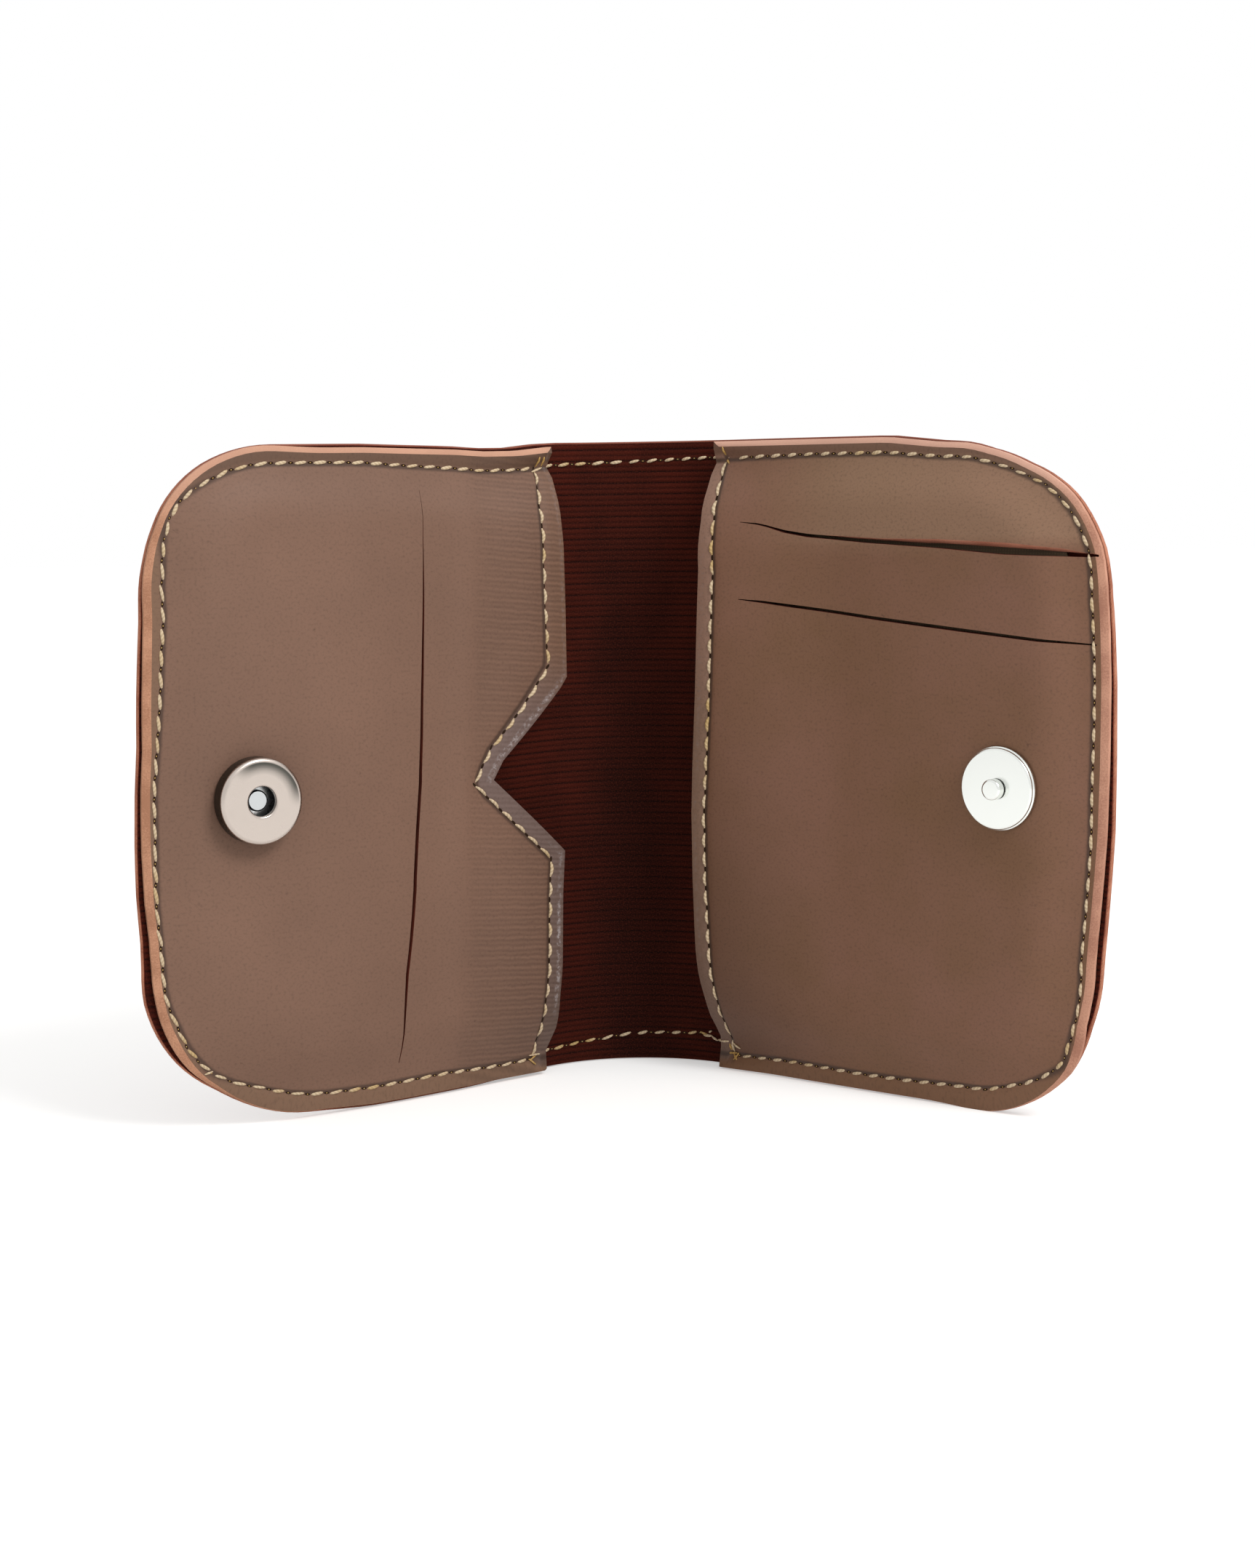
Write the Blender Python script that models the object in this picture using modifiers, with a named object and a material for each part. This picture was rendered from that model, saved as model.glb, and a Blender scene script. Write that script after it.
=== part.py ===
"""A bifold card wallet that stands half open on its bottom edge.

Two leather halves hang on a leather spine. Each half has a cover, a ribbed lining, card pockets and an
inner leather panel that is sewn down round its outside and open towards the spine. A magnetic snap on
the two panels holds the wallet shut.

Every sheet is drawn flat, as a pattern with s across and z up, and is then bent along one line in plan.
s is measured along the sheet from the middle of the spine, and is negative on the left. w is measured
square to the sheet, from the middle of the cover's thickness towards the inside of the wallet.
"""

import math
from collections import namedtuple

import bmesh
import bpy
from mathutils import Matrix, Vector

MM = 0.001
COLLECTION_NAME = "bifold_card_wallet"

# The whole wallet, laid out flat
HEIGHT = 110.0 * MM
PANEL_WIDTH = 76.5 * MM
SPINE_HALF = 19.0 * MM
FOLD = 10.0 * MM
CORNER = 24.0 * MM
SIDE_BOW = 1.2 * MM

# How the two halves stand and how far their panels stand off the lining
Side = namedtuple("Side", "sign turn end puff gape edge_top edge_bottom")
LEFT_TURN = math.radians(46.8)
LEFT_END = math.radians(26.3)
LEFT_PUFF = 1.6 * MM
LEFT_GAPE = 2.6 * MM
LEFT_EDGE_TOP = 17.2 * MM
LEFT_EDGE_BOTTOM = 20.0 * MM
RIGHT_TURN = math.radians(41.6)
RIGHT_END = math.radians(38.3)
RIGHT_PUFF = 2.2 * MM
RIGHT_GAPE = 4.0 * MM
RIGHT_EDGE_TOP = 19.6 * MM
RIGHT_EDGE_BOTTOM = 18.8 * MM
RISE_WIDTH = 9.0 * MM
GAPE_RISE = 18.0 * MM
GAPE_REACH = 30.0 * MM

# Sheets
CLEARANCE = 0.3 * MM
COVER_THICK = 1.2 * MM
LINING_THICK = 0.4 * MM
POCKET_THICK = 0.3 * MM
PANEL_THICK = 1.5 * MM
PANEL_REVEAL = 0.7 * MM
LINING_REVEAL = 0.5 * MM
EDGE_BEVEL = 1.0 * MM
EDGE_BOW = 1.0 * MM
COVER_FOLD_GAP = 1.0 * MM
LINING_FOLD_GAP = 2.0 * MM
OVERRUN = 5.0 * MM

# Thumb notch in the left panel's open edge
NOTCH_TOP = 70.0 * MM
NOTCH_APEX = 53.7 * MM
NOTCH_BOTTOM = 40.5 * MM
NOTCH_REACH = 33.2 * MM

# Card slots: shares of the panel's width, from the end of the spine's turn, and of the height
SLOT_WIDTH = 0.8 * MM
LEFT_SLOT_SHARES = ((0.353, 0.920), (0.365, 0.727), (0.379, 0.490), (0.405, 0.273), (0.434, 0.073))
UPPER_SLOT_SHARES = ((0.120, 0.872), (0.183, 0.864), (0.275, 0.850), (0.644, 0.836), (0.955, 0.8245))
LOWER_SLOT_SHARES = ((0.127, 0.7545), (0.459, 0.7327), (0.950, 0.699))

# Card pockets behind the slots
LEFT_POCKET_START = 38.0 * MM
POCKET_INSET = 1.6 * MM
LOWER_POCKET_INSET = 9.0 * MM
LOWER_POCKET_START = 27.0 * MM
POCKET_OVERLAP = 4.0 * MM

# Sewing
THREAD = 0.75 * MM
STITCH_PITCH = 3.4 * MM
THREAD_WAIST_SHARE = 0.4
SEAM_INSET = 2.3 * MM
EDGE_SEAM_INSET = 2.9 * MM
SPINE_SEAM_TOP = 3.7 * MM
SPINE_SEAM_BOTTOM = 4.3 * MM

# Magnetic snap: its place in from the outside edge and up, and the level seat round it on each panel
SNAP_INSET = 18.1 * MM
SNAP_HEIGHT = 53.6 * MM
SEAT_RADIUS = 7.2 * MM
SEAT_BLEND = 3.0 * MM
CAP_RADIUS = 7.0 * MM
CAP_HEIGHT = 3.2 * MM
CAP_WALL = 0.45 * MM
CAP_SHOULDER = 1.3 * MM
CAP_HOLE_RADIUS = 2.65 * MM
CAP_SINK_RADIUS = 3.9 * MM
CAP_SINK_DEPTH = 0.9 * MM
BASE_THICK = 0.4 * MM
BASE_RADIUS = 6.2 * MM
POST_RADIUS = 1.75 * MM
POST_HEIGHT = 1.5 * MM
POST_BEVEL = 0.25 * MM
MAGNET_RADIUS = 5.4 * MM
MAGNET_BORE = 3.75 * MM
PLATE_RADIUS = 6.75 * MM
PLATE_HEIGHT = 1.1 * MM
PLATE_WALL = 0.4 * MM
PLATE_SHOULDER = 0.4 * MM
PLATE_HOLE = 1.1 * MM
STUD_BASE_THICK = 0.3 * MM
STUD_BASE_RADIUS = 5.7 * MM
STUD_RADIUS = 1.7 * MM
STUD_RISE = 1.7 * MM
STUD_BEVEL = 0.4 * MM
PRONG_REACH = 3.6 * MM
PRONG_WIDTH = 2.2 * MM
PRONG_THICK = 0.5 * MM
PRONG_LENGTH = 2.6 * MM
WASHER_RADIUS = 6.0 * MM
WASHER_HOLE = 1.2 * MM
WASHER_THICK = 0.4 * MM
WASHER_GAP = 0.4 * MM

# How finely the sheets and turned pieces are divided
RISE_STEPS = 4
GAPE_STEPS = 5
PANEL_GRID_COLUMNS = 4
PANEL_GRID_ROWS = 6
COVER_GRID_COLUMNS = 9
COVER_GRID_ROWS = 5
SPINE_GRID_COLUMNS = 3
CORNER_STEPS = 7
EDGE_STEPS = 6
TURNED_STEPS = 32
MERGE = 0.01 * MM
FLAT_ANGLE = math.radians(0.5)
SHARP_ANGLE = math.radians(35)

# What follows from the sizes above
LEFT = Side(-1, LEFT_TURN, LEFT_END, LEFT_PUFF, LEFT_GAPE, LEFT_EDGE_TOP, LEFT_EDGE_BOTTOM)
RIGHT = Side(1, RIGHT_TURN, RIGHT_END, RIGHT_PUFF, RIGHT_GAPE, RIGHT_EDGE_TOP, RIGHT_EDGE_BOTTOM)
OUTER = SPINE_HALF + PANEL_WIDTH
COVER_FLOOR = -COVER_THICK / 2
LINING_FLOOR = COVER_THICK / 2 + CLEARANCE
LINING_FACE = LINING_FLOOR + LINING_THICK
POCKET_FLOOR = LINING_FACE + CLEARANCE
INNER_POCKET_FLOOR = POCKET_FLOOR + POCKET_THICK + CLEARANCE
PANEL_FLOOR = POCKET_FLOOR + POCKET_THICK + CLEARANCE
PANEL_FACE = PANEL_FLOOR + PANEL_THICK
SEAM = PANEL_REVEAL + SEAM_INSET
SNAP_S = OUTER - SNAP_INSET
PRONG_SLOT_LENGTH = PRONG_WIDTH + 2 * CLEARANCE
PRONG_SLOT_WIDTH = PRONG_THICK + 2 * CLEARANCE

# Colours
LEATHER_OUTSIDE = (0.33, 0.10, 0.06, 1.0)
LINING_RED = (0.10, 0.02, 0.012, 1.0)
LEATHER_LEFT = (0.24, 0.16, 0.12, 1.0)
LEATHER_RIGHT = (0.20, 0.12, 0.08, 1.0)
POCKET_BROWN = (0.09, 0.04, 0.03, 1.0)
THREAD_CREAM = (0.75, 0.62, 0.45, 1.0)
NICKEL = (0.72, 0.69, 0.66, 1.0)
STEEL = (0.55, 0.55, 0.55, 1.0)
MAGNET_GREY = (0.10, 0.10, 0.11, 1.0)


def ease(share):
    """Rise smoothly from 0 to 1."""
    share = max(0.0, min(1.0, share))
    return share * share * (3 - 2 * share)


def arc_step(start, stop, length):
    """The chord, across and back, of a line that turns evenly from one heading to another."""
    half_turn = (stop - start) / 2
    chord = length * math.sin(half_turn) / half_turn if half_turn else length
    middle = (start + stop) / 2
    return Vector((chord * math.cos(middle), -chord * math.sin(middle)))


def heading_at(side, reach):
    """How far the sheet has turned from the x axis at a distance from the middle of the spine."""
    if reach < SPINE_HALF:
        return side.turn * reach / SPINE_HALF
    share = (reach - SPINE_HALF) / PANEL_WIDTH
    return side.turn + (side.end - side.turn) * share


def plan_point(side, reach, w):
    """Plan position of a point of one side, before the wallet is centred."""
    heading = heading_at(side, reach)
    if reach < SPINE_HALF:
        step = arc_step(0.0, heading, reach)
    else:
        step = arc_step(0.0, side.turn, SPINE_HALF) + arc_step(side.turn, heading, reach - SPINE_HALF)
    across = side.sign * (step.x - w * math.sin(heading))
    return Vector((across, step.y - w * math.cos(heading)))


def plan_centre():
    """Middle of the wallet's box in plan: between its outer edges, and from the spine to the stitches."""
    left = plan_point(LEFT, OUTER + SIDE_BOW, COVER_FLOOR).x
    right = plan_point(RIGHT, OUTER + SIDE_BOW, COVER_FLOOR).x
    thread_top = PANEL_FACE + CLEARANCE + THREAD
    seam_reach = OUTER + SIDE_BOW - SEAM
    front = min(plan_point(side, seam_reach, thread_top).y for side in (LEFT, RIGHT))
    return Vector(((left + right) / 2, (front - COVER_FLOOR) / 2))


CENTRE = plan_centre()


def side_of(s):
    return LEFT if s < 0 else RIGHT


def bowed(s, z):
    """The sides of the pattern bow outwards at mid height, and its spine end stays straight."""
    reach = abs(s)
    if reach < SPINE_HALF:
        return reach
    across_share = (reach - SPINE_HALF) / PANEL_WIDTH
    height_share = 2 * z / HEIGHT - 1
    return reach + SIDE_BOW * across_share * (1 - height_share * height_share)


def place(s, z, w):
    """World position of a point of the pattern."""
    side = side_of(s)
    point = plan_point(side, bowed(s, z), w) - CENTRE
    return Vector((point.x, point.y, z))


def inside(s, z):
    """How far a point of the pattern lies in from the outside edge, which is open at the spine."""
    across = OUTER - abs(s)
    up = min(z, HEIGHT - z)
    if across < CORNER and up < CORNER:
        return CORNER - math.hypot(CORNER - across, CORNER - up)
    return min(across, up)


def seat_share(s, z):
    """1 round the snap, where a panel stands at its full height, and 0 away from it."""
    away = math.hypot(abs(s) - SNAP_S, z - SNAP_HEIGHT)
    return 1 - ease((away - SEAT_RADIUS) / SEAT_BLEND)


def lift(s, z):
    """How far a panel stands off its sewn level: it puffs inside the seam and gapes at the spine."""
    side = side_of(s)
    puffed = side.puff * max(ease((inside(s, z) - SEAM) / RISE_WIDTH), seat_share(s, z))
    up = min(z, HEIGHT - z)
    mouth = 1 - ease((abs(s) - SPINE_HALF) / GAPE_REACH)
    return puffed + side.gape * ease((up - SEAM) / GAPE_RISE) * mouth


def place_lifted(s, z, w):
    return place(s, z, w + lift(s, z))


def new_collection(name):
    collection = bpy.data.collections.new(name)
    bpy.context.scene.collection.children.link(collection)
    return collection


def clear_scene():
    for item in list(bpy.data.objects):
        bpy.data.objects.remove(item)


def new_material(name, colour, roughness, metallic=0.0):
    material = bpy.data.materials.new(name)
    material.use_nodes = True
    shader = material.node_tree.nodes["Principled BSDF"]
    shader.inputs["Base Color"].default_value = colour
    shader.inputs["Roughness"].default_value = roughness
    shader.inputs["Metallic"].default_value = metallic
    material.diffuse_color = colour
    return material


def new_hinge(name, side):
    """An empty on a fold line: the axis that one half turns about."""
    hinge = bpy.data.objects.new(name, None)
    hinge.location = place(side.sign * FOLD, 0.0, 0.0)
    bpy.context.scene.collection.objects.link(hinge)
    return hinge


def add_piece(collection, name, data, hinge, finish):
    """Link a finished piece, whose data is in world space, under the hinge that carries it."""
    piece = bpy.data.objects.new(name, data)
    collection.objects.link(piece)
    colour, roughness, metallic = finish
    data.materials.clear()
    data.materials.append(new_material(name + "_finish", colour, roughness, metallic))
    if hinge:
        data.transform(Matrix.Translation(-hinge.location))
        piece.parent = hinge
    return piece


def evaluated_mesh(item):
    depsgraph = bpy.context.evaluated_depsgraph_get()
    return bpy.data.meshes.new_from_object(item.evaluated_get(depsgraph))


def face_outwards(bm):
    """Make a closed mesh's faces agree and point out, which on a thin sheet needs its volume's sign."""
    bmesh.ops.recalc_face_normals(bm, faces=bm.faces)
    if bm.calc_volume(signed=True) < 0:
        bmesh.ops.reverse_faces(bm, faces=bm.faces)


def flat_slab(outline, floor, thickness):
    """A mesh of a flat outline with a thickness, its two faces each one polygon."""
    curve = bpy.data.curves.new("outline", "CURVE")
    curve.dimensions = "2D"
    curve.fill_mode = "BOTH"
    curve.extrude = thickness / 2
    spline = curve.splines.new("POLY")
    spline.points.add(len(outline) - 1)
    for point, (s, z) in zip(spline.points, outline):
        point.co = (s, z, 0.0, 1.0)
    spline.use_cyclic_u = True
    item = bpy.data.objects.new("outline", curve)
    bpy.context.scene.collection.objects.link(item)
    mesh = evaluated_mesh(item)
    bpy.data.objects.remove(item)
    mesh.transform(Matrix.Translation((0.0, 0.0, floor + thickness / 2)))
    bm = bmesh.new()
    bm.from_mesh(mesh)
    bmesh.ops.remove_doubles(bm, verts=bm.verts, dist=MERGE)
    bmesh.ops.dissolve_limit(bm, angle_limit=FLAT_ANGLE, verts=bm.verts, edges=bm.edges)
    face_outwards(bm)
    bm.to_mesh(mesh)
    bm.free()
    return mesh


def combine(mesh, other, operation):
    """Cut one mesh from another, or join the two."""
    body = bpy.data.objects.new("body", mesh)
    tool = bpy.data.objects.new("tool", other)
    for item in (body, tool):
        bpy.context.scene.collection.objects.link(item)
    modifier = body.modifiers.new("combine", "BOOLEAN")
    modifier.operation = operation
    modifier.solver = "EXACT"
    modifier.object = tool
    result = evaluated_mesh(body)
    bpy.data.objects.remove(body)
    bpy.data.objects.remove(tool)
    return result


def bevel_outside(mesh, is_outside):
    """Bevel the front edge of a slab where it runs along the outside of the wallet."""
    bm = bmesh.new()
    bm.from_mesh(mesh)
    front = max(vert.co.z for vert in bm.verts)
    edges = []
    for edge in bm.edges:
        low, high = edge.verts
        on_front = low.co.z > front - MERGE and high.co.z > front - MERGE
        if on_front and is_outside(low.co) and is_outside(high.co):
            edges.append(edge)
    bmesh.ops.bevel(bm, geom=edges, offset=EDGE_BEVEL, offset_type="OFFSET", segments=1, profile=0.5,
                    affect="EDGES", clamp_overlap=True, material=-1)
    bm.to_mesh(mesh)
    bm.free()


def bend(mesh, columns, rows, where):
    """Divide a flat slab along a grid of lines and move each point to its place in the wallet."""
    bm = bmesh.new()
    bm.from_mesh(mesh)
    cuts = [(Vector((s, 0.0, 0.0)), Vector((1.0, 0.0, 0.0))) for s in columns]
    cuts += [(Vector((0.0, z, 0.0)), Vector((0.0, 1.0, 0.0))) for z in rows]
    for point, normal in cuts:
        geometry = bm.verts[:] + bm.edges[:] + bm.faces[:]
        bmesh.ops.bisect_plane(bm, geom=geometry, plane_co=point, plane_no=normal, dist=MERGE)
    for vert in bm.verts:
        vert.co = where(vert.co.x, vert.co.y, vert.co.z)
    face_outwards(bm)
    bm.to_mesh(mesh)
    bm.free()
    return mesh


def grid_lines(start, stop, count):
    """Evenly spaced lines between two places, without the places themselves."""
    return [start + (stop - start) * step / count for step in range(1, count)]


def corner_points(side, inset, top):
    """Points of a rounded outside corner, from the outside edge to the top or bottom edge."""
    radius = CORNER - inset
    centre_z = HEIGHT - CORNER if top else CORNER
    up = 1 if top else -1
    points = []
    for step in range(CORNER_STEPS + 1):
        angle = math.pi / 2 * step / CORNER_STEPS
        s = OUTER - CORNER + radius * math.cos(angle)
        points.append((side.sign * s, centre_z + up * radius * math.sin(angle)))
    return points


def outside_path(side, inset, start, stop):
    """The wallet's outside edge at an inset, from the top at start, round the side, to the bottom."""
    top_corner = corner_points(side, inset, True)
    bottom_corner = corner_points(side, inset, False)
    first = (side.sign * start, HEIGHT - inset)
    last = (side.sign * stop, inset)
    return [first] + top_corner[::-1] + bottom_corner + [last]


def open_edge(side):
    """The panel's edge at the spine, from bottom to top, with the left panel's thumb notch."""
    steps = 2 * EDGE_STEPS
    heights = [PANEL_REVEAL + (HEIGHT - 2 * PANEL_REVEAL) * step / steps for step in range(steps + 1)]
    if side is LEFT:
        heights = [z for z in heights if not NOTCH_BOTTOM - MERGE < z < NOTCH_TOP + MERGE]
        heights = sorted(heights + [NOTCH_BOTTOM, NOTCH_TOP])
    points = []
    for z in heights:
        straight = side.edge_bottom + (side.edge_top - side.edge_bottom) * z / HEIGHT
        s = straight - EDGE_BOW * math.sin(math.pi * z / HEIGHT)
        points.append((side.sign * s, z))
        if side is LEFT and z == NOTCH_BOTTOM:
            points.append((side.sign * NOTCH_REACH, NOTCH_APEX))
    return points


def ribbon_outline(path, width):
    """A closed outline of a given width along a path."""
    return offset_path(path, width / 2) + offset_path(path, -width / 2)[::-1]


def offset_path(path, distance):
    """A path shifted sideways, to its left where the distance is positive, with mitred bends."""
    points = [Vector(point) for point in path]
    directions = [(b - a).normalized() for a, b in zip(points, points[1:])]
    normals = [Vector((-direction.y, direction.x)) for direction in directions]
    shifted = []
    for index, point in enumerate(points):
        before = normals[max(index - 1, 0)]
        after = normals[min(index, len(normals) - 1)]
        middle = (before + after).normalized()
        shifted.append(tuple(point + middle * distance / middle.dot(after)))
    return shifted


def slot_path(side, shares):
    return [(side.sign * (SPINE_HALF + across * PANEL_WIDTH), up * HEIGHT) for across, up in shares]


def slot_cutter(path):
    return flat_slab(ribbon_outline(path, SLOT_WIDTH), PANEL_FLOOR - OVERRUN, PANEL_THICK + 2 * OVERRUN)


def prong_cutter(side, offset):
    """A small flat block that cuts the slit for one prong of a snap through a panel."""
    s = side.sign * SNAP_S + offset
    half_width = PRONG_SLOT_WIDTH / 2
    half_length = PRONG_SLOT_LENGTH / 2
    outline = [(s - half_width, SNAP_HEIGHT - half_length), (s + half_width, SNAP_HEIGHT - half_length),
               (s + half_width, SNAP_HEIGHT + half_length), (s - half_width, SNAP_HEIGHT + half_length)]
    return flat_slab(outline, PANEL_FLOOR - OVERRUN, PANEL_THICK + 2 * OVERRUN)


def half_sheet(side, start, inset, floor, thickness):
    """A plain sheet of one half, from near the fold to the outside edge."""
    outline = outside_path(side, inset, start, start)
    mesh = flat_slab(outline, floor, thickness)
    turn_lines = grid_lines(FOLD, SPINE_HALF, SPINE_GRID_COLUMNS) + [SPINE_HALF]
    columns = [side.sign * s for s in turn_lines + grid_lines(SPINE_HALF, OUTER, COVER_GRID_COLUMNS)]
    return bend(mesh, columns, grid_lines(0.0, HEIGHT, COVER_GRID_ROWS), place)


def spine_sheet(half_width, inset, floor, thickness):
    outline = [(-half_width, inset), (half_width, inset),
               (half_width, HEIGHT - inset), (-half_width, HEIGHT - inset)]
    mesh = flat_slab(outline, floor, thickness)
    columns = grid_lines(-FOLD, FOLD, 2 * SPINE_GRID_COLUMNS)
    return bend(mesh, columns, grid_lines(0.0, HEIGHT, COVER_GRID_ROWS), place)


def pocket_sheet(side, outline, floor):
    """A thin sheet behind a card slot, flat on the lining."""
    mesh = flat_slab(outline, floor, POCKET_THICK)
    columns = [side.sign * s for s in grid_lines(SPINE_HALF, OUTER, COVER_GRID_COLUMNS)]
    return bend(mesh, columns, grid_lines(0.0, HEIGHT, COVER_GRID_ROWS), place)


def left_pocket_outline():
    return outside_path(LEFT, PANEL_REVEAL + POCKET_INSET, LEFT_POCKET_START, LEFT_POCKET_START)


def upper_pocket_outline():
    """The right half's first pocket: from just above the upper slot down to the bottom seam."""
    inset = PANEL_REVEAL + POCKET_INSET
    start = SPINE_HALF + UPPER_SLOT_SHARES[0][0] * PANEL_WIDTH - POCKET_OVERLAP
    mouth = UPPER_SLOT_SHARES[0][1] * HEIGHT + POCKET_OVERLAP
    side_top = HEIGHT - CORNER
    outer = OUTER - inset
    bottom = corner_points(RIGHT, inset, False)
    return [(start, mouth), (outer - POCKET_OVERLAP, mouth), (outer, side_top)] + bottom + [(start, inset)]


def lower_pocket_outline():
    """The right half's second pocket, over the first one and clear of the seam all round."""
    inset = PANEL_REVEAL + LOWER_POCKET_INSET
    start = LOWER_POCKET_START
    mouth = LOWER_SLOT_SHARES[0][1] * HEIGHT + POCKET_OVERLAP
    bottom = corner_points(RIGHT, inset, False)
    return [(start, mouth), (OUTER - inset, mouth)] + bottom + [(start, inset)]


def rise_lines():
    """Distances in from the outside edge at which a panel that puffs needs a line."""
    return [SEAM] + grid_lines(SEAM, SEAM + RISE_WIDTH, RISE_STEPS) + [SEAM + RISE_WIDTH]


def seat_lines(centre):
    """Lines on both sides of a snap's middle that keep its seat level."""
    reaches = (SEAT_RADIUS, SEAT_RADIUS + SEAT_BLEND)
    return [centre - reach for reach in reaches] + [centre + reach for reach in reaches]


def panel_columns():
    """Lines across a panel: close together where it gapes and where it puffs."""
    gape_end = SPINE_HALF + GAPE_REACH
    rise_start = OUTER - SEAM - RISE_WIDTH
    gaping = [SPINE_HALF] + grid_lines(SPINE_HALF, gape_end, GAPE_STEPS) + [gape_end]
    middle = grid_lines(gape_end, rise_start, PANEL_GRID_COLUMNS) + seat_lines(SNAP_S)
    return gaping + middle + [OUTER - step for step in rise_lines()]


def panel_rows():
    """Lines up a panel: close together above and below, where it puffs and gapes."""
    gape_end = SEAM + GAPE_RISE
    steps = rise_lines() + [(SEAM + RISE_WIDTH + gape_end) / 2, gape_end]
    middle = grid_lines(gape_end, HEIGHT - gape_end, PANEL_GRID_ROWS) + seat_lines(SNAP_HEIGHT)
    return steps + middle + [HEIGHT - step for step in steps]


def panel_mesh(side, slot_paths):
    """An inner panel: its outline, bevelled outside edge, card slots and prong slits, then its bend."""
    edge = open_edge(side)
    outside = outside_path(side, PANEL_REVEAL, abs(edge[-1][0]), abs(edge[0][0]))
    mesh = flat_slab(edge + outside[1:-1], PANEL_FLOOR, PANEL_THICK)
    mouth = max(abs(s) for s, z in edge)

    def is_outside(point):
        near_rim = inside(point.x, point.y) < PANEL_REVEAL + EDGE_BEVEL / 2
        return near_rim and (abs(point.x) > mouth or point.y < CORNER or point.y > HEIGHT - CORNER)

    bevel_outside(mesh, is_outside)
    for path in slot_paths:
        mesh = combine(mesh, slot_cutter(path), "DIFFERENCE")
    for offset in (-PRONG_REACH, PRONG_REACH):
        mesh = combine(mesh, prong_cutter(side, offset), "DIFFERENCE")
    return bend(mesh, [side.sign * s for s in panel_columns()], panel_rows(), place_lifted)


def stations(path):
    """Evenly spaced points along a path: a needle hole, the middle of a stitch, a hole and so on."""
    points = [Vector(point) for point in path]
    lengths = [(b - a).length for a, b in zip(points, points[1:])]
    halves = 2 * max(1, round(sum(lengths) / STITCH_PITCH))
    found = []
    for index in range(halves + 1):
        along = sum(lengths) * index / halves
        leg = 0
        while leg < len(lengths) - 1 and along > lengths[leg]:
            along -= lengths[leg]
            leg += 1
        found.append(points[leg].lerp(points[leg + 1], min(1.0, along / lengths[leg])))
    return found


def seam(path, where, face):
    """A run of stitches as tube points: thick at each stitch's middle and thin where the thread dips."""
    run = []
    for index, (s, z) in enumerate(stations(path)):
        share = 1.0 if index % 2 else THREAD_WAIST_SHARE
        run.append((where(s, z, face + CLEARANCE + share * THREAD / 2), share))
    return run


def thread_curve(name, run):
    """One unbroken thread through all the points of its runs."""
    curve = bpy.data.curves.new(name, "CURVE")
    curve.dimensions = "3D"
    curve.bevel_depth = THREAD / 2
    curve.bevel_resolution = 0
    curve.use_fill_caps = True
    spline = curve.splines.new("POLY")
    spline.points.add(len(run) - 1)
    for point, (position, share) in zip(spline.points, run):
        point.co = (*position, 1.0)
        point.radius = share
    return curve


def perimeter_thread(side, name):
    """The seam round the outside of a panel, which steps down to the lining at the spine."""
    step = CLEARANCE + THREAD
    fold_start = FOLD + LINING_FOLD_GAP
    top_edge = side.edge_top - step
    bottom_edge = side.edge_bottom - step
    top = HEIGHT - SPINE_SEAM_TOP
    bottom = SPINE_SEAM_BOTTOM
    run = seam([(side.sign * fold_start, top), (side.sign * top_edge, top)], place, LINING_FACE)
    run += seam(outside_path(side, SEAM, top_edge, bottom_edge), place_lifted, PANEL_FACE)
    run += seam([(side.sign * bottom_edge, bottom), (side.sign * fold_start, bottom)], place, LINING_FACE)
    return thread_curve(name, run)


def open_edge_thread(side, name):
    """The row of stitches beside a panel's open edge, which follows the notch on the left."""
    inwards = EDGE_SEAM_INSET if side is LEFT else -EDGE_SEAM_INSET
    end_gap = SEAM + CLEARANCE + THREAD
    path = [(s, z) for s, z in offset_path(open_edge(side), inwards) if end_gap < z < HEIGHT - end_gap]
    return thread_curve(name, seam(path, place_lifted, PANEL_FACE))


def spine_thread(name, z):
    half = FOLD - LINING_FOLD_GAP / 2
    return thread_curve(name, seam([(-half, z), (half, z)], place, LINING_FACE))


def snap_frame(side):
    """Matrix of a snap: its origin clear of the panel, x away from the spine and z square to the panel."""
    centre = place_lifted(side.sign * SNAP_S, SNAP_HEIGHT, PANEL_FACE + CLEARANCE)
    heading = heading_at(side, bowed(SNAP_S, SNAP_HEIGHT))
    away = Vector((side.sign * math.cos(heading), -math.sin(heading), 0.0))
    inwards = Vector((-side.sign * math.sin(heading), -math.cos(heading), 0.0))
    up = inwards.cross(away)
    turn = Matrix((away, up, inwards)).transposed()
    return Matrix.Translation(centre) @ turn.to_4x4()


def turned(profile, closed):
    """A turned mesh from a profile of radius and height that runs down its outer side."""
    mesh = bpy.data.meshes.new("profile")
    count = len(profile)
    edges = [(index, index + 1) for index in range(count - 1)]
    if closed:
        edges.append((count - 1, 0))
    mesh.from_pydata([(radius, 0.0, height) for radius, height in profile], edges, [])
    item = bpy.data.objects.new("profile", mesh)
    bpy.context.scene.collection.objects.link(item)
    screw = item.modifiers.new("turn", "SCREW")
    screw.steps = TURNED_STEPS
    screw.render_steps = TURNED_STEPS
    screw.use_merge_vertices = True
    screw.merge_threshold = MERGE
    result = evaluated_mesh(item)
    bpy.data.objects.remove(item)
    return result


def block(low, high):
    """A box mesh between two corners."""
    bm = bmesh.new()
    bmesh.ops.create_cube(bm, size=1.0)
    low, high = Vector(low), Vector(high)
    for vert in bm.verts:
        vert.co = (low + high) / 2 + vert.co * (high - low)
    mesh = bpy.data.meshes.new("block")
    bm.to_mesh(mesh)
    bm.free()
    return mesh


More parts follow.
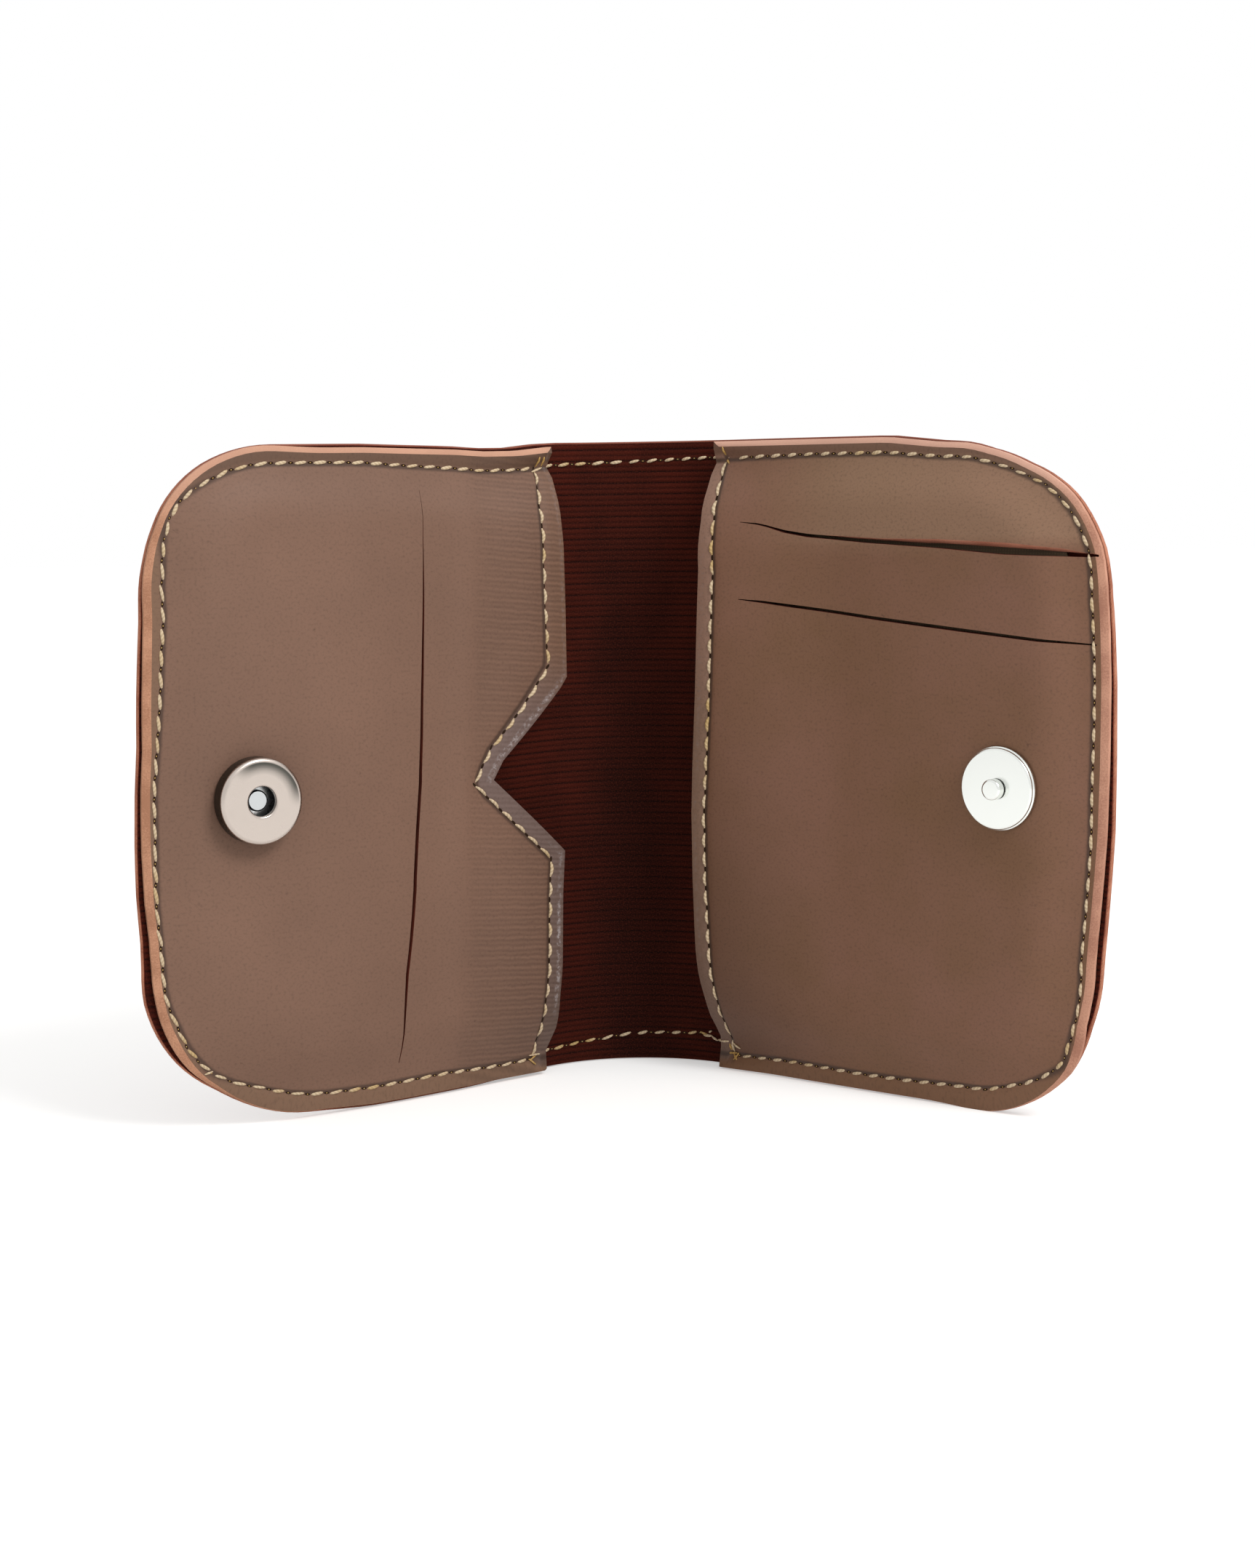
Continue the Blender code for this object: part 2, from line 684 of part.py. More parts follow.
def prong_mesh(direction):
    """One prong, bent away from the middle behind the washer."""
    bend_floor = -(CLEARANCE + PANEL_THICK + WASHER_GAP + WASHER_THICK + CLEARANCE + PRONG_THICK)
    half_width = PRONG_WIDTH / 2
    inner = PRONG_REACH - PRONG_THICK / 2
    outer = PRONG_REACH + PRONG_THICK / 2
    outline = [(inner, STUD_BASE_THICK / 2), (inner, bend_floor), (inner + PRONG_LENGTH, bend_floor),
               (inner + PRONG_LENGTH, bend_floor + PRONG_THICK), (outer, bend_floor + PRONG_THICK),
               (outer, STUD_BASE_THICK / 2)]
    mesh = flat_slab([(direction * x, z) for x, z in outline], -half_width, PRONG_WIDTH)
    mesh.transform(Matrix.Rotation(math.pi / 2, 4, "X"))
    return mesh


def with_prongs(mesh):
    for direction in (-1, 1):
        mesh = combine(mesh, prong_mesh(direction), "UNION")
    return mesh


def cap_mesh():
    """The raised cap of the socket: a shell with a rounded shoulder and a sunk hole."""
    inner_radius = CAP_RADIUS - CAP_WALL
    inner_top = CAP_HEIGHT - CAP_WALL
    shoulder_drop = CAP_SHOULDER * (1 - math.sin(math.pi / 4))
    sink_floor = CAP_HEIGHT - CAP_SINK_DEPTH
    outside = [(CAP_SINK_RADIUS, CAP_HEIGHT),
               (CAP_RADIUS - CAP_SHOULDER, CAP_HEIGHT),
               (CAP_RADIUS - shoulder_drop, CAP_HEIGHT - shoulder_drop),
               (CAP_RADIUS, CAP_HEIGHT - CAP_SHOULDER),
               (CAP_RADIUS, 0.0)]
    under = [(inner_radius, 0.0),
             (inner_radius, inner_top - CAP_SHOULDER),
             (inner_radius - shoulder_drop, inner_top - shoulder_drop),
             (inner_radius - CAP_SHOULDER, inner_top),
             (CAP_SINK_RADIUS - CAP_WALL / 2, inner_top),
             (CAP_HOLE_RADIUS, sink_floor - CAP_WALL),
             (CAP_HOLE_RADIUS, sink_floor)]
    return turned(outside + under, True)


def socket_base_mesh():
    """The socket's base plate, with the post in the middle and two prongs."""
    post = [(0.0, POST_HEIGHT),
            (POST_RADIUS - POST_BEVEL, POST_HEIGHT),
            (POST_RADIUS, POST_HEIGHT - POST_BEVEL),
            (POST_RADIUS, BASE_THICK)]
    disc = [(BASE_RADIUS, BASE_THICK), (BASE_RADIUS, 0.0), (0.0, 0.0)]
    return with_prongs(turned(post + disc, False))


def magnet_mesh():
    floor = BASE_THICK + CLEARANCE
    top = CAP_HEIGHT - CAP_WALL - CLEARANCE
    profile = [(MAGNET_BORE, top), (MAGNET_RADIUS, top), (MAGNET_RADIUS, floor), (MAGNET_BORE, floor)]
    return turned(profile, True)


def plate_mesh():
    """The stud's plate: a shallow dish, face out, with a hole for the stud."""
    inner_radius = PLATE_RADIUS - PLATE_WALL
    inner_top = PLATE_HEIGHT - PLATE_WALL
    profile = [(PLATE_HOLE, PLATE_HEIGHT), (PLATE_RADIUS - PLATE_SHOULDER, PLATE_HEIGHT),
               (PLATE_RADIUS, PLATE_HEIGHT - PLATE_SHOULDER), (PLATE_RADIUS, 0.0), (inner_radius, 0.0),
               (inner_radius, inner_top), (PLATE_HOLE, inner_top)]
    return turned(profile, True)


def stud_mesh():
    """The stud: a short post whose shank goes through the plate."""
    shank = PLATE_HOLE - CLEARANCE
    top = PLATE_HEIGHT + STUD_RISE
    foot = PLATE_HEIGHT + CLEARANCE
    shank_end = STUD_BASE_THICK + CLEARANCE
    profile = [(0.0, top), (STUD_RADIUS - STUD_BEVEL, top), (STUD_RADIUS, top - STUD_BEVEL),
               (STUD_RADIUS, foot), (shank, foot), (shank, shank_end), (0.0, shank_end)]
    return turned(profile, False)


def stud_base_mesh():
    profile = [(0.0, STUD_BASE_THICK),
               (STUD_BASE_RADIUS, STUD_BASE_THICK),
               (STUD_BASE_RADIUS, 0.0),
               (0.0, 0.0)]
    return with_prongs(turned(profile, False))


def washer_mesh():
    """The washer behind a panel, with a hole and two slits for the prongs."""
    top = -(CLEARANCE + PANEL_THICK + WASHER_GAP)
    floor = top - WASHER_THICK
    profile = [(WASHER_HOLE, top), (WASHER_RADIUS, top), (WASHER_RADIUS, floor), (WASHER_HOLE, floor)]
    mesh = turned(profile, True)
    half_width = PRONG_SLOT_WIDTH / 2
    half_length = PRONG_SLOT_LENGTH / 2
    for centre in (-PRONG_REACH, PRONG_REACH):
        low = (centre - half_width, -half_length, floor - OVERRUN)
        high = (centre + half_width, half_length, top + OVERRUN)
        mesh = combine(mesh, block(low, high), "DIFFERENCE")
    return mesh


def add_snap_piece(collection, name, mesh, side, hinge, finish):
    mesh.transform(snap_frame(side))
    mesh.shade_smooth()
    mesh.set_sharp_from_angle(angle=SHARP_ANGLE)
    return add_piece(collection, name, mesh, hinge, finish)


def build_spine(collection):
    leather = (LEATHER_OUTSIDE, 0.55, 0.0)
    cloth = (LINING_RED, 0.6, 0.0)
    thread = (THREAD_CREAM, 0.6, 0.0)
    cover = spine_sheet(FOLD - COVER_FOLD_GAP / 2, 0.0, COVER_FLOOR, COVER_THICK)
    lining = spine_sheet(FOLD - LINING_FOLD_GAP / 2, LINING_REVEAL, LINING_FLOOR, LINING_THICK)
    add_piece(collection, "spine_cover", cover, None, leather)
    add_piece(collection, "spine_lining", lining, None, cloth)
    top = spine_thread("spine_top_thread", HEIGHT - SPINE_SEAM_TOP)
    bottom = spine_thread("spine_bottom_thread", SPINE_SEAM_BOTTOM)
    add_piece(collection, "spine_top_thread", top, None, thread)
    add_piece(collection, "spine_bottom_thread", bottom, None, thread)


def build_half(collection, side, prefix, hinge, panel_colour, slot_paths):
    """The cover, lining, panel and stitches that both halves have."""
    cover = half_sheet(side, FOLD + COVER_FOLD_GAP / 2, 0.0, COVER_FLOOR, COVER_THICK)
    lining = half_sheet(side, FOLD + LINING_FOLD_GAP / 2, LINING_REVEAL, LINING_FLOOR, LINING_THICK)
    panel = panel_mesh(side, slot_paths)
    add_piece(collection, prefix + "_cover", cover, hinge, (LEATHER_OUTSIDE, 0.55, 0.0))
    add_piece(collection, prefix + "_lining", lining, hinge, (LINING_RED, 0.6, 0.0))
    add_piece(collection, prefix + "_panel", panel, hinge, (panel_colour, 0.5, 0.0))
    thread = (THREAD_CREAM, 0.6, 0.0)
    perimeter_name = prefix + "_perimeter_thread"
    edge_name = prefix + "_pocket_edge_thread"
    add_piece(collection, perimeter_name, perimeter_thread(side, perimeter_name), hinge, thread)
    add_piece(collection, edge_name, open_edge_thread(side, edge_name), hinge, thread)


def build_pockets(collection, left_hinge, right_hinge):
    finish = (POCKET_BROWN, 0.7, 0.0)
    left = pocket_sheet(LEFT, left_pocket_outline(), POCKET_FLOOR)
    upper = pocket_sheet(RIGHT, upper_pocket_outline(), POCKET_FLOOR)
    lower = pocket_sheet(RIGHT, lower_pocket_outline(), INNER_POCKET_FLOOR)
    add_piece(collection, "left_card_pocket", left, left_hinge, finish)
    add_piece(collection, "right_upper_card_pocket", upper, right_hinge, finish)
    add_piece(collection, "right_lower_card_pocket", lower, right_hinge, finish)


def build_socket(collection, hinge):
    nickel = (NICKEL, 0.25, 1.0)
    steel = (STEEL, 0.4, 1.0)
    magnet = (MAGNET_GREY, 0.5, 0.6)
    add_snap_piece(collection, "snap_socket_cap", cap_mesh(), LEFT, hinge, nickel)
    add_snap_piece(collection, "snap_socket_base", socket_base_mesh(), LEFT, hinge, nickel)
    add_snap_piece(collection, "snap_socket_magnet", magnet_mesh(), LEFT, hinge, magnet)
    add_snap_piece(collection, "snap_socket_washer", washer_mesh(), LEFT, hinge, steel)


def build_stud(collection, hinge):
    nickel = (NICKEL, 0.25, 1.0)
    steel = (STEEL, 0.4, 1.0)
    add_snap_piece(collection, "snap_stud_plate", plate_mesh(), RIGHT, hinge, nickel)
    add_snap_piece(collection, "snap_stud", stud_mesh(), RIGHT, hinge, nickel)
    add_snap_piece(collection, "snap_stud_base", stud_base_mesh(), RIGHT, hinge, steel)
    add_snap_piece(collection, "snap_stud_washer", washer_mesh(), RIGHT, hinge, steel)


def build_wallet():
    clear_scene()
    collection = new_collection(COLLECTION_NAME)
    left_hinge = new_hinge("left_fold", LEFT)
    right_hinge = new_hinge("right_fold", RIGHT)
    left_slots = [slot_path(LEFT, LEFT_SLOT_SHARES)]
    right_slots = [slot_path(RIGHT, UPPER_SLOT_SHARES), slot_path(RIGHT, LOWER_SLOT_SHARES)]
    build_spine(collection)
    build_half(collection, LEFT, "left", left_hinge, LEATHER_LEFT, left_slots)
    build_half(collection, RIGHT, "right", right_hinge, LEATHER_RIGHT, right_slots)
    build_pockets(collection, left_hinge, right_hinge)
    build_socket(collection, left_hinge)
    build_stud(collection, right_hinge)


build_wallet()
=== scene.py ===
# %% [markdown]
# # A small leather wallet, standing half open
#
# This lesson dresses the CAD model of a bifold card wallet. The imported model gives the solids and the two
# fold lines, and this script builds what the eye sees: leather with raw edges, a ribbed lining, rows of
# waxed stitches and a magnetic snap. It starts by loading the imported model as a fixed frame.

# %% Load the frame
import math
import random
from collections import namedtuple
from functools import partial

import bmesh
import bpy
from mathutils import Matrix, Vector
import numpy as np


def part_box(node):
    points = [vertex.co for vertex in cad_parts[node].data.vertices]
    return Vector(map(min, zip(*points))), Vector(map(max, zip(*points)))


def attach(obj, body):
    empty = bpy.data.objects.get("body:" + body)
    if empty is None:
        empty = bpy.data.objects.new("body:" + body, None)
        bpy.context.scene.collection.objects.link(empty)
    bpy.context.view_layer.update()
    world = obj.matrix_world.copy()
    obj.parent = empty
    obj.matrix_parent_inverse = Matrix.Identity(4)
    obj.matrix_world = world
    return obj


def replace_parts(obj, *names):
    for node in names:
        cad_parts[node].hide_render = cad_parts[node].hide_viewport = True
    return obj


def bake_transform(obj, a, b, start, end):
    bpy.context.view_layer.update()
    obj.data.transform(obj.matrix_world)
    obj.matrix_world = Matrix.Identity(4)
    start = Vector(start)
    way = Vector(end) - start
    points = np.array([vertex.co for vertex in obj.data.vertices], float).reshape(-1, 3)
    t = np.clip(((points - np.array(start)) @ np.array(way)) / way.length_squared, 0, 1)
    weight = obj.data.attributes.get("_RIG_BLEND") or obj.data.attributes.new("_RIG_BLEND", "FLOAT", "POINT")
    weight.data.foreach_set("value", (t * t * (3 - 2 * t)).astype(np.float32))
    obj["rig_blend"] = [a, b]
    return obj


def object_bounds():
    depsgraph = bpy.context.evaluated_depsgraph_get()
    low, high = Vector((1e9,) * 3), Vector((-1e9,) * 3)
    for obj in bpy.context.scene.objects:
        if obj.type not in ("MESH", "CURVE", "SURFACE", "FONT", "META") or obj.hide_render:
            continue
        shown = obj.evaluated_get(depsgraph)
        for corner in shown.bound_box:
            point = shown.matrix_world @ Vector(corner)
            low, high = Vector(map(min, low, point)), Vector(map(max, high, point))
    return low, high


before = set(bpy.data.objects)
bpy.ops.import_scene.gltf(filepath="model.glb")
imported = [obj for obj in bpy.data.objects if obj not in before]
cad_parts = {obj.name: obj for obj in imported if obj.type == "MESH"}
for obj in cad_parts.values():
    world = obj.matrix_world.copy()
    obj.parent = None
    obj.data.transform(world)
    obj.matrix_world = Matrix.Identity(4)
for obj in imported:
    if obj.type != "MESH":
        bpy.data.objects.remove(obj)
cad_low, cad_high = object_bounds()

print("CAD box in mm:", [round(side * 1000, 1) for side in cad_high - cad_low])

# %% [markdown]
# ## The pattern
#
# A leather worker cuts every sheet flat and only then folds it. The script does the same. A point of a sheet
# has a distance s along the sheet from the middle of the spine, a height z, and a level w above the middle
# of the cover's thickness. The sizes below are those of the CAD model, in metres.

# %% Sizes of the pattern
MM = 0.001
HEIGHT = 110.0 * MM
PANEL_WIDTH = 76.5 * MM
SPINE_HALF = 19.0 * MM
OUTER = SPINE_HALF + PANEL_WIDTH
FOLD = 10.0 * MM
SIDE_BOW = 1.2 * MM

COVER_FLOOR = -0.6 * MM
COVER_THICK = 1.2 * MM
LINING_FLOOR = 0.9 * MM
LINING_THICK = 0.4 * MM
LINING_FACE = LINING_FLOOR + LINING_THICK
POCKET_FLOOR = 1.6 * MM
POCKET_THICK = 0.3 * MM
PANEL_FLOOR = 2.2 * MM
PANEL_THICK = 1.5 * MM
PANEL_FACE = PANEL_FLOOR + PANEL_THICK

LINING_REVEAL = 0.3 * MM
SEAM_INSET = 2.4 * MM
RISE_WIDTH = 9.0 * MM
GAPE_RISE = 18.0 * MM
GAPE_REACH = 30.0 * MM
SNAP_S = OUTER - 18.1 * MM
SNAP_HEIGHT = 53.6 * MM
SEAT_RADIUS = 7.2 * MM
SEAT_BLEND = 3.0 * MM

Side = namedtuple("Side", "name body sign turn end puff gape edge_top edge_bottom corner_top corner_bottom "
                          "reveal")
LEFT = Side("left", "left_half", -1, math.radians(46.8), math.radians(26.3), 1.6 * MM, 2.6 * MM,
            17.2 * MM, 20.0 * MM, 24.0 * MM, 27.5 * MM, 0.6 * MM)
RIGHT = Side("right", "right_half", 1, math.radians(41.6), math.radians(38.3), 2.2 * MM, 4.0 * MM,
             19.6 * MM, 18.8 * MM, 28.0 * MM, 24.0 * MM, 0.3 * MM)
print("a half is", round(OUTER / MM, 1), "mm from the middle of the spine to its outer edge")

# %% [markdown]
# ## A worn outline
#
# The CAD outline is true, while the real wallet's is not: its sides bow by different amounts, its top dips
# beside the left tab and droops towards the right corner, and its bottom lifts a little at the left. The
# tables give these shifts in millimetres, by height for the sides and by distance from the spine for the rest.

# %% Tables of the worn outline
SIDE_SHIFTS = {
    "left": [(0, 1.3), (22, 1.3), (27, 0.9), (32, 0.9), (38, 1.3), (46, 1.3), (56, 0.9), (62, 0.4), (69, 0.2),
             (76, -0.2), (83, -0.7), (92, -0.9), (97, -0.6), (101, 0.0), (107, 0.9)],
    "right": [(0, -0.2), (8, -0.2), (12, -0.8), (16, -1.2), (20, -1.0), (26, -0.6), (33, 0.1), (40, 0.7), (47, 1.2),
              (57, 1.4), (71, 1.4), (78, 1.1), (84, 0.7), (88, 0.9), (92, 1.3), (110, 1.5)],
}
TOP_DROPS = {
    "left": [(13, 0.0), (18, 0.2), (25, 0.8), (32, 0.85), (38, 0.5), (46, 0.3), (56, 0.0)],
    "right": [(55, 0.0), (60, 0.5), (65, 1.0), (70, 1.3), (74, 1.7), (81, 1.7), (86, 1.0), (90, 0.0)],
}
BOTTOM_RISES = {
    "left": [(57, 0.0), (62, 0.3), (66, 0.6), (72, 0.9), (78, 1.3), (84, 1.8), (90, 1.2)],
    "right": [(0, 0.0), (9, 0.0)],
}
TOP_WANDERS = {
    "left": [(18, 1.0), (27, 0.9), (34, 0.95), (40, 0.7), (48, 0.45), (56, 0.1), (62, 0.0)],
    "right": [(20, 0.6), (30, 0.3), (40, 0.1), (54, 0.1), (60, 0.0)],
}
BOTTOM_WANDERS = {
    "left": [(30, 0.0), (44, 0.6), (60, 0.4), (66, 0.2), (69, 0.4), (72, 0.6), (78, 0.75), (81, 0.2), (84, 0.0)],
    "right": [(24, 0.0), (34, 0.4), (50, 0.2), (60, 0.4), (70, 0.8), (80, 0.7), (88, 0.0)],
}
SIDE_WANDERS = {
    "left": [(4, 0.0), (6, -0.4), (9, -0.8), (13, -0.3), (18, 0.3), (24, 0.05), (28, -0.15), (32, -0.4), (38, -0.4),
             (48, -0.3), (55, -0.5), (62, -0.3), (70, 0.25), (77, 0.3), (84, 0.4), (90, 0.0), (94, -0.8), (98, -1.5),
             (101, -1.3), (104, -0.6), (107, 0.0)],
    "right": [(4, 0.0), (6, -0.5), (8, -0.8), (10, -1.1), (13, -0.7), (17, -0.3), (21, 0.1), (26, 0.45), (45, 0.4),
              (54, 0.5), (65, 0.2), (84, 0.0), (90, -0.5), (96, -0.8), (102, -0.9), (106, -0.5)],
}


def read_table(table, place):
    """Value at a place, in metres, of a table in millimetres. Beyond its ends the table stays level."""
    at = place / MM
    for (low, first), (high, second) in zip(table, table[1:]):
        if at < high:
            share = max(0.0, (at - low) / (high - low))
            return (first + (second - first) * share) * MM
    return table[-1][1] * MM


print("left side's shift at mid height:", round(read_table(SIDE_SHIFTS["left"], HEIGHT / 2) / MM, 2), "mm")

# %% [markdown]
# ## From the flat pattern to the standing wallet
#
# In plan each half is one smooth curve: the spine turns evenly and the half then straightens a little. An arc
# with an even turn has an exact chord, so a point's place can be worked out without any simulation, and every
# piece that is bent by the same function fits the others. Along the sewn rim the thread squeezes the sheets
# together, so the cover and the lining come up to the panel there.

# %% Bend the pattern
DROP_FROM = 93.0 * MM
RISE_TO = 20.0 * MM
PRESS_WIDTH = 8.0 * MM
PRESS_FADE = 20.0 * MM
PRESSED_SHIFT = [(-0.6, 2.0), (0.6, 1.7), (0.9, 1.45), (1.3, 1.3), (1.6, 1.02), (1.9, 0.86), (2.2, 0.6), (3.7, 0.0)]


def ease(share):
    """Rise smoothly from 0 to 1."""
    share = max(0.0, min(1.0, share))
    return share * share * (3 - 2 * share)


def arc_step(start, stop, length):
    """The chord of a line that turns evenly from one heading to another."""
    half_turn = (stop - start) / 2
    chord = length * math.sin(half_turn) / half_turn if half_turn else length
    middle = (start + stop) / 2
    return Vector((chord * math.cos(middle), -chord * math.sin(middle)))


def heading_at(side, reach):
    """How far the sheet has turned from the x axis at a distance from the middle of the spine."""
    if reach < SPINE_HALF:
        return side.turn * reach / SPINE_HALF
    share = (reach - SPINE_HALF) / PANEL_WIDTH
    return side.turn + (side.end - side.turn) * share


def plan_point(side, reach, w):
    heading = heading_at(side, reach)
    if reach < SPINE_HALF:
        step = arc_step(0.0, heading, reach)
    else:
        step = arc_step(0.0, side.turn, SPINE_HALF) + arc_step(side.turn, heading, reach - SPINE_HALF)
    return Vector((side.sign * (step.x - w * math.sin(heading)), step.y - w * math.cos(heading)))


def bowed(reach, z):
    """The CAD model's outer sides bow outwards at mid height. The snap sits on that shape."""
    if reach < SPINE_HALF:
        return reach
    height_share = 2 * z / HEIGHT - 1
    return reach + SIDE_BOW * (reach - SPINE_HALF) / PANEL_WIDTH * (1 - height_share * height_share)


# The CAD model is centred on its box, and its spine's outer face is the box's furthest side.
LEFT_END = plan_point(LEFT, OUTER + SIDE_BOW, COVER_FLOOR)
RIGHT_END = plan_point(RIGHT, OUTER + SIDE_BOW, COVER_FLOOR)
PLAN_ORIGIN = Vector(((LEFT_END.x + RIGHT_END.x) / 2, -COVER_FLOOR - cad_high.y))


def worn(side, reach, z):
    """Where a point of the true pattern lies on the worn wallet."""
    share = max(0.0, reach - SPINE_HALF) / PANEL_WIDTH
    drop = read_table(TOP_DROPS[side.name], reach) * ease((z - DROP_FROM) / (HEIGHT - DROP_FROM))
    rise = read_table(BOTTOM_RISES[side.name], reach) * (1 - ease(z / RISE_TO))
    return reach + share * read_table(SIDE_SHIFTS[side.name], z), z - drop + rise


def corner_radius(side, z):
    return side.corner_top if z > HEIGHT / 2 else side.corner_bottom


def inside(side, reach, z):
    """How far a point lies in from the wallet's outside edge, which is open at the spine."""
    across = OUTER - reach
    up = min(z, HEIGHT - z)
    corner = corner_radius(side, z)
    if across < corner and up < corner:
        return corner - math.hypot(corner - across, corner - up)
    return min(across, up)


def pressed(side, reach, z):
    """1 on the sewn rim, where the thread squeezes all the sheets together, falling to 0 inside."""
    rim = inside(side, reach, z)
    return (1 - ease((rim - SEAM_INSET) / PRESS_WIDTH)) * ease((reach - SPINE_HALF) / PRESS_FADE)


def place(side, reach, z, w):
    """World position of a point of the pattern."""
    moved_reach, moved_z = worn(side, reach, z)
    level = w + pressed(side, reach, z) * read_table(PRESSED_SHIFT, w)
    point = plan_point(side, moved_reach, level) - PLAN_ORIGIN
    return Vector((point.x, point.y, moved_z))


cover_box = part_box("left_cover")
print("left cover's outer end, CAD and here:", round(cover_box[0].x, 5), round(LEFT_END.x - PLAN_ORIGIN.x, 5))

# %% [markdown]
# ## How the panels stand off the lining
#
# The two inner panels are sewn down round three sides only. Inside the seam they puff up, and towards the
# spine, where the pocket opens, they gape. Along the seam itself the thread pulls the leather into a shallow
# groove, and the little tabs above and below the pocket's mouth curl out again. The free edge is a chain of
# points, from the bottom to the top, because a worn edge is never quite straight.

# %% Free edges and the lift of the panels
GROOVE_DEPTH = 0.22 * MM
GROOVE_WIDTH = 0.75 * MM
TAB_CURL = 1.0 * MM
TAB_REACH = 14.0 * MM
RIDGE_RISE = 0.22 * MM
RIDGE_WIDTH = 1.6 * MM
RIDGE_FOOT = 42.4 * MM
RIDGE_LEAN = 0.0525
CORNERS_FROM = 62 * MM
CORNERS_BLEND = 15 * MM
FREE_EDGE = {
    "left": [[(20.4, 0.6), (20.5, 17.0), (20.0, 32.3), (19.4, 39.6)], [(33.8, 53.2)],
             [(31.9, 56.4), (26.0, 62.0), (17.8, 69.8)], [(17.8, 81.0), (18.0, 90.0), (17.5, 98.0), (16.9, 109.4)]],
    "right": [[(19.3, 0.3), (19.2, 21.0), (18.5, 34.3), (18.4, 46.0), (18.9, 53.0), (19.7, 66.0), (20.3, 79.0),
               (20.8, 88.0), (20.6, 95.0), (19.9, 109.7)]],
}
TAB_SHIFTS = {
    "left": [(0.6, 1.2), (3.0, 1.0), (5.0, 0.0), (8.0, -0.7), (10.5, -0.4), (13.0, -0.1), (15.0, 0.0), (97.0, 0.0),
             (101.0, -0.5), (104.0, -0.4), (105.6, 0.7), (106.8, 0.5), (109.4, 0.1)],
    "right": [(0.3, 0.2), (4.0, 0.4), (5.5, 1.1), (7.5, 1.1), (10.0, 0.9), (13.0, 0.8), (16.0, 0.5), (22.0, 0.0),
              (96.0, 0.0), (101.0, -0.4), (104.4, -0.6), (106.2, 0.1), (109.7, 0.1)],
}
MOUTH_INSETS = {
    "left": [(53, 2.9), (60, 3.3), (66, 4.0), (72, 5.0), (90, 5.0), (98, 4.8), (101, 4.2), (104, 3.3)],
    "right": [(88, 2.85), (95, 2.6), (101, 2.3), (105, 1.9)],
}
TAB_BLEND = 6.0 * MM


def free_edge(side):
    """The panel's edge at the spine, in metres, from the bottom to the top."""
    return [Vector(point) * MM for leg in FREE_EDGE[side.name] for point in leg]


EDGE_PATHS = {side.name: free_edge(side) for side in (LEFT, RIGHT)}


def at_corners(reach):
    """0 along the middle of the top and bottom, and 1 at the corners and the outer side."""
    return ease((reach - CORNERS_FROM) / CORNERS_BLEND)


def seam_inset(side, reach, z):
    """How far in the outside row runs. It wanders a little, most of all at the corners."""
    wanders = TOP_WANDERS if z > HEIGHT / 2 else BOTTOM_WANDERS
    aside = read_table(SIDE_WANDERS[side.name], z) * at_corners(reach)
    return side.reveal + SEAM_INSET + read_table(wanders[side.name], reach) + aside


def from_seam(side, reach, z):
    """Distance from the outside row, positive towards the middle of the panel."""
    return inside(side, reach, z) - seam_inset(side, reach, z)


def mouth_inset(side, z):
    """Distance of the row beside the mouth from the free edge."""
    return read_table(MOUTH_INSETS[side.name], z)


def edge_reach(side, z):
    """Where a panel's free edge would be at a height without the notch."""
    return side.edge_bottom + (side.edge_top - side.edge_bottom) * z / HEIGHT


def ridge_reach(z):
    """The line on the left panel where the lining's print ends in a low ridge."""
    return RIDGE_FOOT - RIDGE_LEAN * z


def line_distance(spot, path):
    """Shortest distance from a point to a chain of straight lines."""
    found = []
    for start, stop in zip(path, path[1:]):
        leg = stop - start
        share = max(0.0, min(1.0, (spot - start).dot(leg) / leg.length_squared))
        found.append((spot - start - leg * share).length)
    return min(found)


def dent(distance):
    """Depth of the groove at a distance from a row of stitches."""
    return GROOVE_DEPTH * math.exp(-((distance / GROOVE_WIDTH) ** 2))


def lift(side, reach, z):
    """How far the panel's faces stand above their sewn level."""
    past_seam = from_seam(side, reach, z)
    away = math.hypot(reach - SNAP_S, z - SNAP_HEIGHT)
    rise = max(ease(past_seam / RISE_WIDTH), 1 - ease((away - SEAT_RADIUS) / SEAT_BLEND))
    mouth = 1 - ease((reach - SPINE_HALF) / GAPE_REACH)
    gape = side.gape * ease((min(z, HEIGHT - z) - SEAM_INSET) / GAPE_RISE) * mouth
    tab = 1 - ease((reach - edge_reach(side, z)) / TAB_REACH)
    curl = TAB_CURL * ease(-past_seam / SEAM_INSET) * tab
    from_mouth = line_distance(Vector((reach, z)), EDGE_PATHS[side.name])
    sewn = dent(past_seam) + dent(from_mouth - mouth_inset(side, z)) * ease(past_seam / MM + 1)
    level = side.puff * rise + gape + curl - sewn
    if side is LEFT:
        level += RIDGE_RISE * math.exp(-(((reach - ridge_reach(z)) / RIDGE_WIDTH) ** 2)) * rise
    return level


def place_panel(side, reach, z, w):
    """World position of a point of a panel, with its lift and the worn shape of the tabs."""
    from_edge = reach - edge_reach(side, z)
    shift = read_table(TAB_SHIFTS[side.name], z) * (1 - ease(from_edge / TAB_BLEND))
    return place(side, reach + shift, z, w + lift(side, reach, z))


print("lift in the middle of each panel:", [round(lift(side, 60 * MM, 55 * MM) / MM, 2) for side in (LEFT, RIGHT)])

# %% [markdown]
# ## Colours and nodes
#
# Blender's shaders work in linear light, while a colour picked by eye is in sRGB. One function turns hex
# values to linear ones. A second one adds a shader node and fills its inputs, so that each material below
# reads as a short list. A Mix node keeps its two plain values at inputs 2 and 3, and its two colours at 6 and 7.

# %% Colour and node helpers


def hex_colour(text):
    """Linear RGBA of an sRGB hex colour."""
    parts = [int(text[at : at + 2], 16) / 255 for at in (1, 3, 5)]
    return tuple(part / 12.92 if part <= 0.04045 else ((part + 0.055) / 1.055) ** 2.4 for part in parts) + (1.0,)


